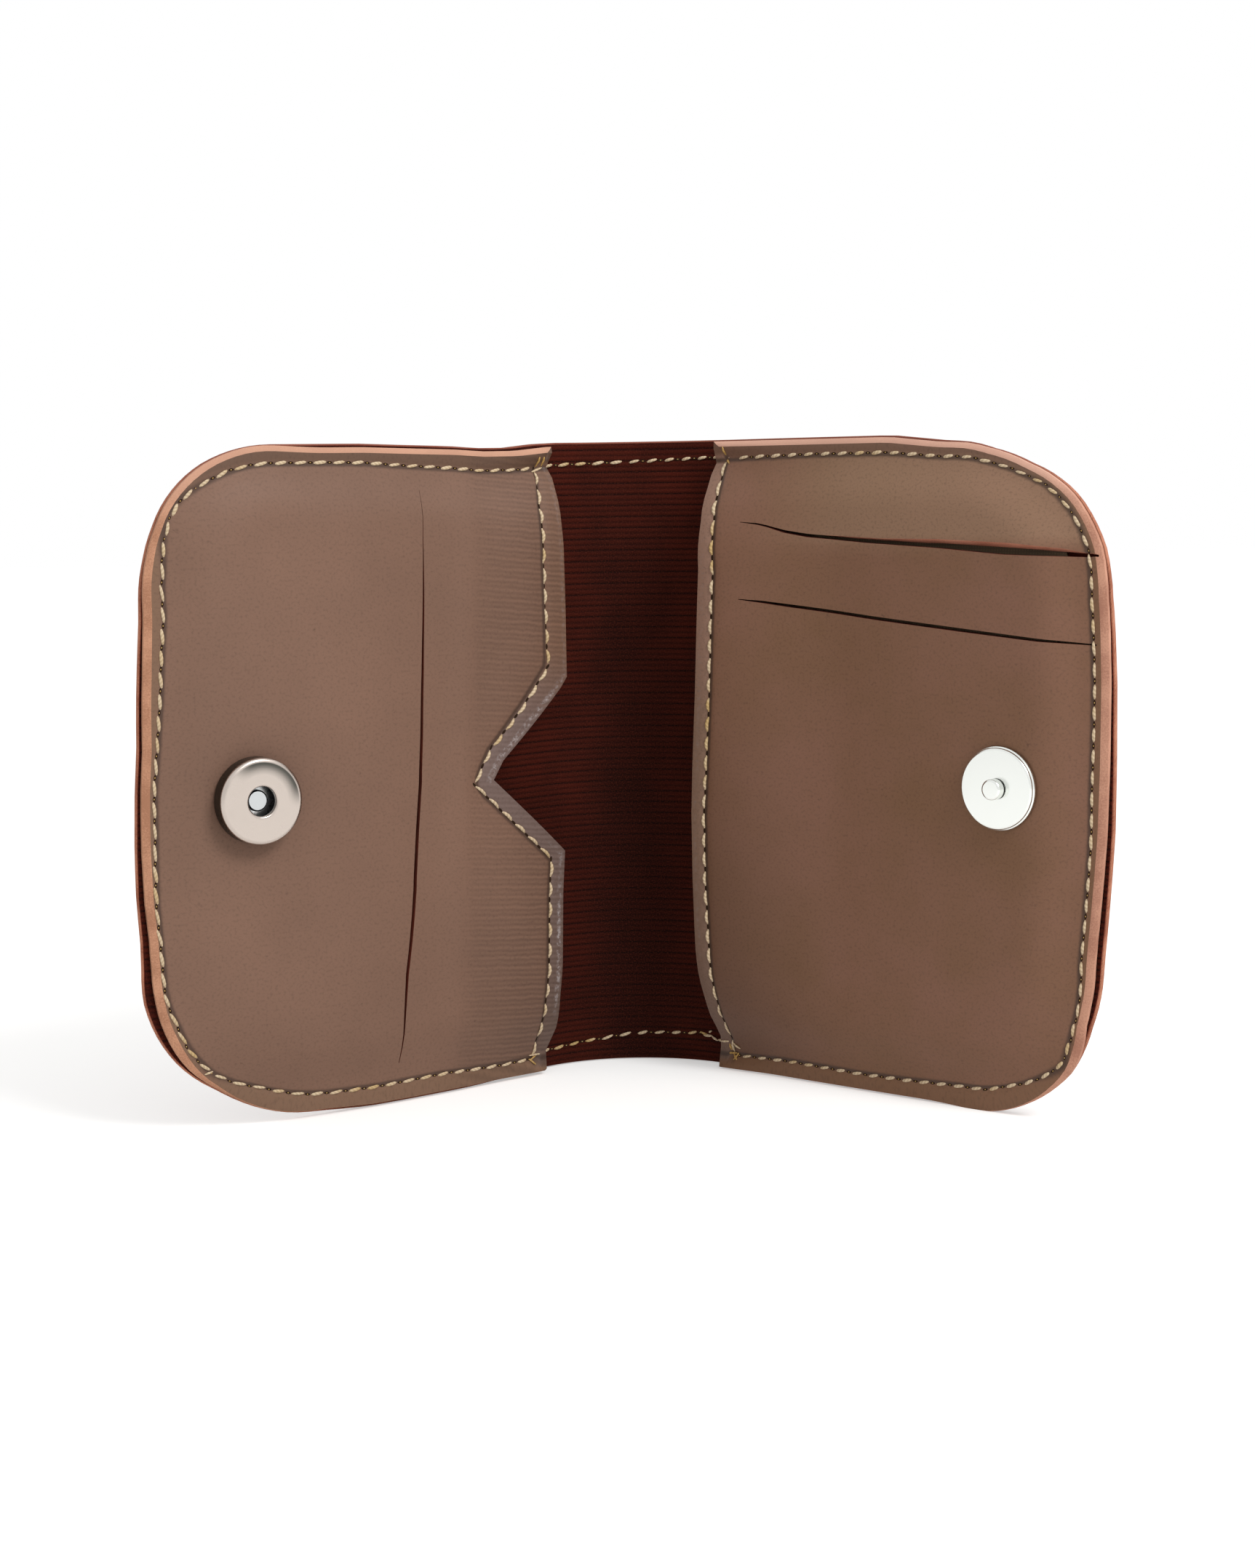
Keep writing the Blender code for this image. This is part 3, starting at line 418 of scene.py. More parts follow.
def set_inputs(holder, node, inputs):
    """Fill a node's inputs. Each is a value, a hex colour, or a node or one of its outputs to link from."""
    for socket, value in inputs.items():
        if isinstance(value, bpy.types.Node):
            value = next(output for output in value.outputs if output.enabled)
        if isinstance(value, bpy.types.NodeSocket):
            holder.node_tree.links.new(value, node.inputs[socket])
        else:
            node.inputs[socket].default_value = hex_colour(value) if isinstance(value, str) else value


def add_node(holder, kind, inputs=None, **settings):
    """Add a shader node to a material or to the world."""
    node = holder.node_tree.nodes.new("ShaderNode" + kind)
    for setting, value in settings.items():
        setattr(node, setting, value)
    set_inputs(holder, node, inputs or {})
    return node


def set_shader(material, inputs):
    """Fill inputs of the material's shader."""
    set_inputs(material, material.node_tree.nodes["Principled BSDF"], inputs)
    return material


def new_material(name, roughness):
    """A material, and a short way to add nodes to it."""
    material = bpy.data.materials.new(name)
    material.use_nodes = True
    return set_shader(material, {"Roughness": roughness}), partial(add_node, material)


print("helpers ready")

# %% [markdown]
# ## Patterns in millimetres
#
# The pattern's flat coordinates are kept as a UV map, in which 10 units are one metre, so a noise or a wave on it
# can be given a real size. Other masks rise over a range of heights, or near a line that the mesh knows about.

# %% Scales and masks
UV_PER_METRE = 10.0
UV_PER_MM = UV_PER_METRE * MM
WAVE_TURN = 2 * math.pi / 20
TOP_ZONE = (100, 108)


def noise_scale(size_mm):
    """Noise scale that gives features of a real size on the pattern's UV map."""
    return 1 / (size_mm * UV_PER_MM)


def wave_scale(pitch_mm):
    """Wave scale that gives bands of a real pitch on the pattern's UV map."""
    return WAVE_TURN / (pitch_mm * UV_PER_MM)


def height_share(add, pattern, start, stop, most=1.0):
    """0 at one height of the pattern in mm, rising evenly to the most at another, above or below it."""
    up = add("SeparateXYZ", {0: pattern}).outputs[1]
    return add("MapRange", {"Value": up, "From Min": start * UV_PER_MM, "From Max": stop * UV_PER_MM, "To Max": most})


def closeness(add, distance, centre, width):
    """1 where a distance equals the centre, falling smoothly to 0 at the width."""
    offset = add("Math", {0: distance, 1: centre}, operation="SUBTRACT")
    size = add("Math", {0: offset}, operation="ABSOLUTE")
    return add("MapRange", {"Value": size, "From Min": width, "From Max": 0.0}, interpolation_type="SMOOTHERSTEP")


print("one mm is", round(UV_PER_MM, 3), "on the pattern's UV map")

# %% [markdown]
# ## Finish: coated split leather
#
# The inner panels are split cowhide with a thin pigmented coat, so they are smooth, nearly matt, and a little
# uneven in colour. Tiny pores show as a very fine bump. The margin beside the pocket's mouth looks cooler, and
# the groove under the stitches is darkened with painted shade. The ribs of the lining print through the left
# panel near the spine, which is why that area has a fine level ribbing, with painted shade in its grooves. The
# right panel carries painted light above its upper slot and painted shade low down near the mouth, the top of
# the rim strip carries painted shade, and parts of the free edge carry a painted highlight on a glossy strip.
#
# The mesh carries each point's distance from the outside row and from the free edge, in millimetres, as
# attributes, so all these marks follow the real edges. The finish mixes one colour over another, mark by mark.

# %% Leather of the inner panels
PANEL_MARKS = ("from_seam", "from_mouth", "past_mouth", "tone", "print_through", "glint")
PORE_MM = 0.45
MOTTLE_MM = 34.0
FLECK_MM = 2.2
HIGH_ZONE = (66, 78)
LOW_ZONE = (46, 14)
PRINT_PITCH_MM = 0.87
PRINT_TURN = math.radians(6)
PAIR_SHARE = 0.3
PRINT_SHARE = 0.52
CREASE_SIDE_MM = 0.3
CREASE_SHADE_WIDTH_MM = 0.7
CREASE_SHADE_SHARE = 0.8
# The pale colour along parts of the free edge is a painted highlight on a glossy strip.
GLINT = "#b4aaa8"
GLINT_REACH_MM = 0.9
GLINT_WIDTH_MM = 0.8
GLINT_SPOT_MM = 0.9
GLINT_ROUGHNESS = 0.28
LEATHER_IOR = 1.42
Tones = namedtuple("Tones", "base warm margin high_margin low_margin rim top_rim wax fleck light shade")


def make_panel_leather(name, tones):
    """Coated split leather: mottled body, cooler margin at the mouth, painted shade along the stitches."""
    material, add = new_material(name, 0.55)
    pattern = add("UVMap", uv_map="pattern")
    past_seam, mouth, past_mouth, tone, printed, glinting = [
        add("Attribute", attribute_name=mark).outputs["Fac"] for mark in PANEL_MARKS]
    mottle, pores, specks, glint_spots = [
        add("TexNoise", {"Vector": pattern, "Scale": noise_scale(size), "Detail": detail, "Roughness": roughness})
        for size, detail, roughness in ((MOTTLE_MM, 5.0, 0.6), (PORE_MM, 2.0, 0.6), (FLECK_MM, 3.0, 0.7),
                                        (GLINT_SPOT_MM, 3.0, 0.7))]
    uneven = add("MapRange", {"Value": mottle, "From Min": 0.36, "From Max": 0.64})
    colour = add("Mix", {0: uneven, 6: tones.base, 7: tones.warm}, data_type="RGBA")

    # Painted light and shade: lighter above the right panel's upper slot, where it leans back to the light,
    # darker low down near the mouth, where shade falls.
    painted_lighter, painted_darker = [add("MapRange", {"Value": tone, "From Min": 0.0, "From Max": end}) for end in (1.0, -1.0)]

    # The strip outside the seam is a little yellower, with painted shade along the top, and the strip beside the
    # mouth is cooler.
    near_rim = add("MapRange", {"Value": past_seam, "From Min": 0.2, "From Max": -0.5, "To Max": 0.8})
    at_top = height_share(add, pattern, *TOP_ZONE)
    rim = add("Mix", {0: at_top, 6: tones.rim, 7: tones.top_rim}, data_type="RGBA")
    near_mouth = add("MapRange", {"Value": past_mouth, "From Min": 0.4, "From Max": -0.3})
    in_seam = add("MapRange", {"Value": past_seam, "From Min": -0.9, "From Max": -0.2})
    in_margin = add("Math", {0: near_mouth, 1: in_seam}, operation="MULTIPLY")
    margin = tones.margin
    for zone, zone_tone in ((HIGH_ZONE, tones.high_margin), (LOW_ZONE, tones.low_margin)):
        there = height_share(add, pattern, *zone)
        margin = add("Mix", {0: there, 6: margin, 7: zone_tone}, data_type="RGBA")

    # The ribs of the cloth behind, a little finer than the lining's and turned by a few degrees. Their grooves
    # are darkened with painted shade.
    turned = add("Mapping", {"Vector": pattern, "Rotation": (0.0, 0.0, PRINT_TURN)})
    single, paired = [
        add("TexWave", {"Vector": turned, "Scale": wave_scale(pitch), "Distortion": 2.2, "Detail": 3.0,
                        "Detail Scale": 1.2}, bands_direction="Y").outputs["Fac"]
        for pitch in (PRINT_PITCH_MM, 2 * PRINT_PITCH_MM)]
    ribs = add("Mix", {0: PAIR_SHARE, 2: single, 3: paired})
    worn_print = add("MapRange", {"Value": mottle, "From Min": 0.3, "From Max": 0.6, "To Min": 0.65})
    print_here = add("Math", {0: worn_print, 1: printed}, operation="MULTIPLY")
    rib_shade = add("Math", {0: ribs, 1: print_here}, operation="MULTIPLY")
    rib_painted_shade = add("Math", {0: rib_shade, 1: PRINT_SHARE}, operation="MULTIPLY")

    # Pores hold a little less pigment, and scuffs and dust leave small dark flecks.
    pore_tone = add("MapRange", {"Value": pores, "From Min": 0.5, "From Max": 0.75, "To Max": 0.32})
    flecks = add("MapRange", {"Value": specks, "From Min": 0.68, "From Max": 0.76, "To Max": 0.45})

    # The thread has pressed a crease into the leather, and painted shade darkens it.
    seam_crease_shade, mouth_crease_shade = [closeness(add, distance, CREASE_SIDE_MM, CREASE_SHADE_WIDTH_MM)
                          for distance in (past_seam, past_mouth)]
    mouth_crease_shade = add("Math", {0: mouth_crease_shade, 1: in_seam}, operation="MULTIPLY")
    wax = add("Math", {0: seam_crease_shade, 1: mouth_crease_shade}, operation="MAXIMUM")
    wax = add("Math", {0: wax, 1: CREASE_SHADE_SHARE}, operation="MULTIPLY")

    # Along parts of the free edge a glossy strip in small spots, with a painted highlight in its pale colour.
    glint_spot_mask = add("MapRange", {"Value": glint_spots, "From Min": 0.46, "From Max": 0.66})
    strip = closeness(add, mouth, GLINT_REACH_MM, GLINT_WIDTH_MM)
    here = add("Math", {0: strip, 1: glinting}, operation="MULTIPLY")
    glint = add("Math", {0: here, 1: glint_spot_mask}, operation="MULTIPLY")

    for share, layer in ((painted_lighter, tones.light), (painted_darker, tones.shade), (near_rim, rim), (in_margin, margin),
                         (rib_painted_shade, tones.wax), (pore_tone, tones.wax), (flecks, tones.fleck), (wax, tones.wax),
                         (glint, GLINT)):
        colour = add("Mix", {0: share, 6: colour, 7: layer}, data_type="RGBA")
    gloss = add("MapRange", {"Value": mottle, "From Min": 0.3, "From Max": 0.7, "To Min": 0.55, "To Max": 0.64})
    shine = add("Mix", {0: glint, 2: gloss, 3: GLINT_ROUGHNESS})
    pore_height = add("Math", {0: pores, 1: 0.5}, operation="MULTIPLY")
    height = add("Math", {0: rib_shade, 1: pore_height}, operation="ADD")
    bump = add("Bump", {"Height": height, "Strength": 0.4, "Distance": 0.04 * MM})
    return set_shader(material, {"Base Color": colour, "Roughness": shine, "IOR": LEATHER_IOR, "Normal": bump})


# In each set of tones the seventh colour is painted shade along the top of the rim strip, the eighth is painted shade
# in the crease and between the printed ribs and also the pores' darker tone, and the last two are painted light and
# painted shade.
TAUPE_LEATHER = make_panel_leather("coated_split_leather_taupe", Tones(
    "#82614f", "#7a5b4a", "#77625b", "#81604d", "#6d564b", "#7d5f49", "#614838", "#3d2a20", "#4c3629", "#9a7d70",
    "#65483b"))
BROWN_LEATHER = make_panel_leather("coated_split_leather_brown", Tones(
    "#835c48", "#78553c", "#846653", "#8f6d5b", "#6f5547", "#7d5a40", "#6e5040", "#35241a", "#402b20", "#9a7a61",
    "#573a29"))
print("leathers:", TAUPE_LEATHER.name, BROWN_LEATHER.name)

# %% [markdown]
# ## Finish: raw leather edge
#
# A cut edge that was never painted shows the hide's own colour, a peach tan, with short fibres packed side by
# side. Two noises, a fine and a coarse one, give that felt-like look. The left panel's edge is a little duller
# than the right one's. The walls of a card slot are the same leather, drawn darker and redder with painted
# shade, as hardly any light reaches them. The cover's edge and the flesh side beside it are stained red. Along
# the top edge a third colour takes over: a painted highlight on the panels' raw edges, and painted shade on the
# slot walls, the cover's edge and the flesh side.

# %% Raw edges and slot walls
FIBRE_MM = 0.30
PATCH_MM = 6.0
TOP_SHARE = 0.7


def make_raw_edge(name, light, dark, top):
    """Raw leather of two tones, and a third one painted along the top edge, where it faces up to the light."""
    material, add = new_material(name, 0.85)
    pattern = add("UVMap", uv_map="pattern")
    fibres = add("TexNoise", {"Vector": pattern, "Scale": noise_scale(FIBRE_MM), "Detail": 3.0, "Roughness": 0.7})
    patches = add("TexNoise", {"Vector": pattern, "Scale": noise_scale(PATCH_MM), "Detail": 2.0})
    both = add("Math", {0: fibres, 1: patches}, operation="ADD")
    shade = add("MapRange", {"Value": both, "From Min": 0.82, "From Max": 1.18})
    colour = add("Mix", {0: shade, 6: dark, 7: light}, data_type="RGBA")
    high = height_share(add, pattern, *TOP_ZONE, TOP_SHARE)
    colour = add("Mix", {0: high, 6: colour, 7: top}, data_type="RGBA")
    bump = add("Bump", {"Height": fibres, "Strength": 0.5, "Distance": 0.06 * MM})
    return set_shader(material, {"Base Color": colour, "IOR": LEATHER_IOR, "Normal": bump})


# The third colour of each is painted light along the top edge: a painted highlight on the panels' raw edges, and
# painted shade on the slot walls, the cover's edge and the flesh side.
RAW_EDGES = {"left": make_raw_edge("raw_taupe_leather_edge", "#cb9576", "#a8765a", "#d6a58c"),
             "right": make_raw_edge("raw_brown_leather_edge", "#d39c82", "#b37d67", "#ecbca6")}
# The slot walls' two colours are painted shade, darker and redder than the raw edge.
SLOT_WALL = make_raw_edge("shaded_slot_wall", "#7a3624", "#5a2718", "#5a2c1e")
SLOT_LIP = make_raw_edge("cut_lip_of_a_slot", "#cc8a70", "#b06c54", "#c08068")
COVER_EDGE = make_raw_edge("stained_cover_edge", "#c58468", "#9c5c44", "#86483a")
FLESH_SIDE = make_raw_edge("dyed_flesh_side", "#a5452c", "#873421", "#7a3020")
print("raw edges:", [edge.name for edge in (*RAW_EDGES.values(), SLOT_WALL, SLOT_LIP, COVER_EDGE, FLESH_SIDE)])

# %% [markdown]
# ## Finish: ribbed lining, cover leather and pocket cloth
#
# The lining is a dark maroon ribbed cloth. Its ribs, 1 mm apart, are real geometry, and the material darkens
# the grooves with painted shade and adds the tiny bumps of single yarns. Painted shade also darkens the valley
# of the spine and the lower part of the lining. The cover is a smooth chrome-tanned leather in a darker red
# brown. The card pockets behind the slots are thin plain-woven cloth, whose 0.5 mm yarns are drawn coarser
# than the real ones, or they would not show.

# %% Ribbed lining
RIB_PITCH_MM = 0.97
YARN_MM = 0.25
CLOTH_PATCH_MM = 9.0
VALLEY_WIDTH_MM = 15.0
VALLEY_ZONE = (104, 88)
LOW_SHADE_ZONE = (75, 45)


def make_ribbed_cloth():
    """Ribbed cloth with painted shade in its grooves, in the valley of the spine and low down."""
    material, add = new_material("ribbed_lining_cloth", 0.85)
    pattern = add("UVMap", uv_map="pattern")
    crown = add("Attribute", attribute_name="rib_crown").outputs["Fac"]
    patches = add("TexNoise", {"Vector": pattern, "Scale": noise_scale(CLOTH_PATCH_MM), "Detail": 3.0})
    yarns = add("TexNoise", {"Vector": pattern, "Scale": noise_scale(YARN_MM), "Detail": 1.0})
    tone = add("MapRange", {"Value": patches, "From Min": 0.35, "From Max": 0.65})
    across = add("SeparateXYZ", {0: pattern}).outputs[0]
    valley = closeness(add, across, 0.0, VALLEY_WIDTH_MM * UV_PER_MM)
    below = height_share(add, pattern, *VALLEY_ZONE, 0.5)
    valley = add("Math", {0: valley, 1: below}, operation="MULTIPLY")
    low = height_share(add, pattern, *LOW_SHADE_ZONE, 0.16)
    valley_and_low_shade = add("Math", {0: valley, 1: low}, operation="ADD")
    speckle = add("MapRange", {"Value": yarns, "From Min": 0.45, "From Max": 0.75, "To Max": 0.3})
    # The crown mark gives the grooves painted shade, and the valley of the spine and the lower part get painted shade
    # too.
    ribs = add("Mix", {0: tone, 6: "#3b130b", 7: "#4a190f"}, data_type="RGBA")
    colour = add("Mix", {0: crown, 6: "#140504", 7: ribs}, data_type="RGBA")
    for share, layer in ((valley_and_low_shade, "#120403"), (speckle, "#6b3222")):
        colour = add("Mix", {0: share, 6: colour, 7: layer}, data_type="RGBA")
    bump = add("Bump", {"Height": yarns, "Strength": 0.5, "Distance": 0.05 * MM})
    return set_shader(material, {"Base Color": colour, "Specular IOR Level": 0.08, "Normal": bump})


RIBBED_CLOTH = make_ribbed_cloth()
print("lining:", RIBBED_CLOTH.name)

# %% Cover leather and pocket cloth
GRAIN_MM = 0.7
COVER_PATCH_MM = 18.0
WEAVE_MM = 0.5


def make_cover_leather():
    """Smooth leather with a fine grain and two close red browns."""
    material, add = new_material("chrome_tanned_cover_leather", 0.42)
    pattern = add("UVMap", uv_map="pattern")
    grain = add("TexVoronoi", {"Vector": pattern, "Scale": noise_scale(GRAIN_MM)}, feature="SMOOTH_F1")
    patches = add("TexNoise", {"Vector": pattern, "Scale": noise_scale(COVER_PATCH_MM), "Detail": 4.0})
    tone = add("MapRange", {"Value": patches, "From Min": 0.35, "From Max": 0.65})
    colour = add("Mix", {0: tone, 6: "#65291d", 7: "#73301f"}, data_type="RGBA")
    bump = add("Bump", {"Height": grain, "Strength": 0.4, "Distance": 0.08 * MM})
    return set_shader(material, {"Base Color": colour, "IOR": LEATHER_IOR, "Normal": bump})


def make_pocket_cloth():
    """Plain weave: two waves that cross."""
    material, add = new_material("plain_woven_pocket_cloth", 0.8)
    pattern = add("UVMap", uv_map="pattern")
    weft, warp = [add("TexWave", {"Vector": pattern, "Scale": wave_scale(WEAVE_MM)}, bands_direction=way)
                  .outputs["Fac"] for way in "XY"]
    weave = add("Math", {0: weft, 1: warp}, operation="MULTIPLY")
    colour = add("Mix", {0: weave, 6: "#7d6750", 7: "#94795c"}, data_type="RGBA")
    bump = add("Bump", {"Height": weave, "Strength": 0.4, "Distance": 0.05 * MM})
    return set_shader(material, {"Base Color": colour, "Normal": bump})


COVER_LEATHER = make_cover_leather()
POCKET_CLOTH = make_pocket_cloth()
print("soft finishes:", COVER_LEATHER.name, POCKET_CLOTH.name)

# %% [markdown]
# ## Finish: thread, needle holes and metal
#
# The thread is waxed polyester of 0.6 mm, two plies twisted together. The plies show as slanting bands, drawn
# on the stitch's own UV map, which is in millimetres, with painted shade between them. Each needle hole is a
# small flat lens of painted shadow. The snap is nickel-plated steel: the socket's cap is satin, with faint marks
# of polishing and a painted dark reflection and shade where marked, and the stud's plate is bright.

# %% Thread and needle holes
PLY_MM = 0.55
PLY_SLANT = math.radians(35)
PLY_SHARE = 0.4
GOLD_PATCH_MM = 9.0
SHADOW_NOISE_SCALE = 900.0


def make_thread(name, light, dark):
    """Twisted thread with golden patches and painted shade between its plies."""
    material, add = new_material(name, 0.5)
    along = add("UVMap", uv_map="pattern")
    turned = add("Mapping", {"Vector": along, "Rotation": (0.0, 0.0, PLY_SLANT)})
    plies = add("TexWave", {"Vector": turned, "Scale": WAVE_TURN / PLY_MM, "Distortion": 0.6},
                bands_direction="X").outputs["Fac"]
    where = add("TexCoord").outputs["Object"]
    patches = add("TexNoise", {"Vector": where, "Scale": 1 / (GOLD_PATCH_MM * MM), "Detail": 2.0})
    golden = add("MapRange", {"Value": patches, "From Min": 0.5, "From Max": 0.72})
    yarn = add("Mix", {0: golden, 6: light, 7: "#c9a970"}, data_type="RGBA")
    ply_shade = add("Math", {0: plies, 1: PLY_SHARE}, operation="MULTIPLY")
    colour = add("Mix", {0: ply_shade, 6: yarn, 7: dark}, data_type="RGBA")
    bump = add("Bump", {"Height": plies, "Strength": 0.5, "Distance": 0.08 * MM}, invert=True)
    return set_shader(material, {"Base Color": colour, "Normal": bump})


def make_needle_hole():
    """Painted shadow of a hole, a little uneven in its darkness."""
    material, add = new_material("needle_hole_shadow", 0.95)
    shadow_noise = add("TexNoise", {"Vector": add("TexCoord").outputs["Object"], "Scale": SHADOW_NOISE_SCALE})
    colour = add("Mix", {0: shadow_noise, 6: "#21150d", 7: "#3a291c"}, data_type="RGBA")
    return set_shader(material, {"Base Color": colour, "Specular IOR Level": 0.1})


THREAD = make_thread("waxed_polyester_thread", "#dfc8a6", "#8a6a3e")
GOLD_THREAD = make_thread("darker_waxed_thread", "#c39a55", "#7a5a2c")
NEEDLE_HOLE = make_needle_hole()
print("threads:", THREAD.name, GOLD_THREAD.name)

# %% Metals
CLOUD_SCALE = 260.0
DARK_REFLECTION_AND_SHADE = "#4c4b46"


def make_plated_metal(name, light, dark, smooth, rough):
    """Metal whose roughness and colour vary a little, as polishing leaves them, with painted dark reflection and
    shade where marked.
    """
    material, add = new_material(name, smooth)
    clouds = add("TexNoise", {"Vector": add("TexCoord").outputs["Object"], "Scale": CLOUD_SCALE, "Detail": 3.0})
    colour = add("Mix", {0: clouds, 6: dark, 7: light}, data_type="RGBA")
    reflection_and_shade = add("Attribute", attribute_name="reflection_and_shade").outputs["Fac"]
    colour = add("Mix", {0: reflection_and_shade, 6: colour, 7: DARK_REFLECTION_AND_SHADE}, data_type="RGBA")
    polish = add("MapRange", {"Value": clouds, "From Min": 0.3, "From Max": 0.7, "To Min": smooth, "To Max": rough})
    return set_shader(material, {"Base Color": colour, "Roughness": polish, "Metallic": 1.0})


SATIN_NICKEL = make_plated_metal("satin_nickel_plate", "#cabeb5", "#b5aaa2", 0.24, 0.34)
POST_NICKEL = make_plated_metal("nickel_plated_post", "#c6c8c9", "#b8bbbc", 0.24, 0.34)
BRIGHT_NICKEL = make_plated_metal("bright_nickel_plate", "#eceeea", "#e2e4e0", 0.16, 0.24)
ZINC_STEEL = make_plated_metal("zinc_plated_steel", "#b9bcc0", "#a4a7ab", 0.3, 0.45)
SINTERED_MAGNET = make_plated_metal("sintered_ferrite_magnet", "#3a3a3d", "#2c2c2f", 0.55, 0.7)
print("metals ready")

# %% [markdown]
# ## Sheets: flat face, thickness, grid, bend
#
# Every sheet starts as one flat face with the outline of the real cut. It is given its thickness, cut into a
# grid of small faces with bisect_plane, and each point is then moved to its place. A Curve modifier could bend
# a sheet too, but the panels also puff and gape, so one function for every point is simpler.

# %% Outlines
CORNER_STEPS = 22


def corner_arc(side, inset, top):
    """Points of a rounded outside corner, from the outer side to the top or bottom edge."""
    corner = side.corner_top if top else side.corner_bottom
    radius = corner - inset
    centre_z = HEIGHT - corner if top else corner
    up = 1 if top else -1
    angles = [math.pi / 2 * step / CORNER_STEPS for step in range(CORNER_STEPS + 1)]
    return [Vector((OUTER - corner + radius * math.cos(angle), centre_z + up * radius * math.sin(angle)))
            for angle in angles]


def outside_path(side, inset, start, stop):
    """The outside edge at an inset: from the top at start, round the outer side, to the bottom at stop."""
    path = [Vector((start, HEIGHT - inset))] + corner_arc(side, inset, True)[::-1]
    return path + corner_arc(side, inset, False) + [Vector((stop, inset))]


print("points on the cover's outline:", len(outside_path(LEFT, 0.0, 0.0, 0.0)))

# %% Helpers for sheets
CUT_TOLERANCE = 0.002 * MM
SHEET_CREASE = 35
BLEND_HALF = 4 * MM


def flat_sheet(outline, floor, thickness):
    """A flat slab, x along the sheet, y up and z through its thickness. Returns it and its front face."""
    bm = bmesh.new()
    back = bm.faces.new([bm.verts.new((spot.x, spot.y, floor)) for spot in outline])
    result = bmesh.ops.extrude_face_region(bm, geom=[back], use_keep_orig=True)
    front = next(item for item in result["geom"] if isinstance(item, bmesh.types.BMFace))
    bmesh.ops.translate(bm, vec=(0.0, 0.0, thickness), verts=list(front.verts))
    bmesh.ops.recalc_face_normals(bm, faces=bm.faces)
    return bm, front


def cut_grid(bm, columns, rows):
    """Cut every face along level and upright lines."""
    lines = [(Vector((0.0, z, 0.0)), Vector((0.0, 1.0, 0.0))) for z in rows]
    lines += [(Vector((reach, 0.0, 0.0)), Vector((1.0, 0.0, 0.0))) for reach in columns]
    for point, normal in lines:
        geometry = bm.verts[:] + bm.edges[:] + bm.faces[:]
        bmesh.ops.bisect_plane(bm, geom=geometry, dist=CUT_TOLERANCE, plane_co=point, plane_no=normal)


def spaced(start, stop, step):
    """Evenly spaced values between two ends, without the ends."""
    count = max(1, round((stop - start) / step))
    return [start + (stop - start) * index / count for index in range(1, count)]


def mark_pattern(bm, side):
    """Keep the flat pattern as a UV map, so that a finish follows the sheet however it bends."""
    layer = bm.loops.layers.uv.new("pattern")
    for face in bm.faces:
        for loop in face.loops:
            spot = loop.vert.co
            loop[layer].uv = (side.sign * spot.x * UV_PER_METRE, (spot.y + spot.z) * UV_PER_METRE)


def add_object(name, data):
    """Put a mesh, a lamp or a camera into the scene."""
    item = bpy.data.objects.new(name, data)
    bpy.context.scene.collection.objects.link(item)
    return item


def mesh_object(bm, name, materials):
    """An object with the bmesh's shape. The bmesh is used up."""
    mesh = bpy.data.meshes.new(name)
    bm.to_mesh(mesh)
    bm.free()
    for material in materials:
        mesh.materials.append(material)
    return add_object(name, mesh)


def finish_piece(bm, name, materials, crease):
    """Turn a closed bmesh into a piece: normals outwards, and smooth shading up to a crease angle in degrees."""
    bmesh.ops.recalc_face_normals(bm, faces=bm.faces)
    if bm.calc_volume(signed=True) < 0:
        bmesh.ops.reverse_faces(bm, faces=bm.faces)
    piece = mesh_object(bm, name, materials)
    piece.data.shade_smooth()
    piece.data.set_sharp_from_angle(angle=math.radians(crease))
    print(name, len(piece.data.polygons), "faces")
    return piece


def bend_sheet(bm, side, where):
    for vert in bm.verts:
        vert.co = where(side, vert.co.x, vert.co.y, vert.co.z)


def cross_fold(piece, side):
    """The piece follows its half up to the fold and the spine beyond it."""
    start = place(side, FOLD + BLEND_HALF, 0.0, 0.0)
    end = place(side, FOLD - BLEND_HALF, 0.0, 0.0)
    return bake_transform(piece, side.body, "spine", start=start, end=end)


# %% [markdown]
# ## The cover
#
# The real cover is one piece of leather from the left side to the right. Here it meets in the middle of the
# spine, because a piece can bend across one joint only. Both parts follow the spine there, so the join never
# opens. Its rim is softened by a small bevel and shows the stained fibres of the cut.

# %% Build the cover
RIM_BEVEL = 0.25 * MM
FLESH_WIDTH = 1.6 * MM
SPINE_STEP = 1 * MM
COVER_STEP = 3 * MM
COVER_ROWS = 4 * MM


def build_cover(side):
    bm, front = flat_sheet(outside_path(side, 0.0, 0.0, 0.0), COVER_FLOOR, COVER_THICK)
    bmesh.ops.inset_region(bm, faces=[front], use_boundary=True, use_even_offset=True, thickness=FLESH_WIDTH,
                           depth=0.0)
    rim = [edge for edge in bm.edges if max(vert.co.x for vert in edge.verts) > MM
           and abs(edge.verts[0].co.z - edge.verts[1].co.z) < CUT_TOLERANCE
           and all(inside(side, vert.co.x, vert.co.y) < CUT_TOLERANCE for vert in edge.verts)]
    bmesh.ops.bevel(bm, geom=rim, offset=RIM_BEVEL, offset_type="OFFSET", segments=2, profile=0.5,
                    affect="EDGES", clamp_overlap=True, material=-1)
    for face in bm.faces:
        centre = face.calc_center_median()
        rim_distance = inside(side, centre.x, centre.y)
        if rim_distance < RIM_BEVEL:
            face.material_index = 1
        elif rim_distance < FLESH_WIDTH and centre.z > 0:
            face.material_index = 2
    columns = spaced(0.0, SPINE_HALF, SPINE_STEP) + spaced(SPINE_HALF - COVER_STEP, OUTER, COVER_STEP)
    cut_grid(bm, columns, spaced(0.0, HEIGHT, COVER_ROWS))
    mark_pattern(bm, side)
    bend_sheet(bm, side, place)
    piece = finish_piece(bm, side.name + "_leather_cover", [COVER_LEATHER, COVER_EDGE, FLESH_SIDE], SHEET_CREASE)
    return cross_fold(piece, side)


left_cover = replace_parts(build_cover(LEFT), "left_cover", "spine_cover")
right_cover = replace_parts(build_cover(RIGHT), "right_cover", "spine_cover")

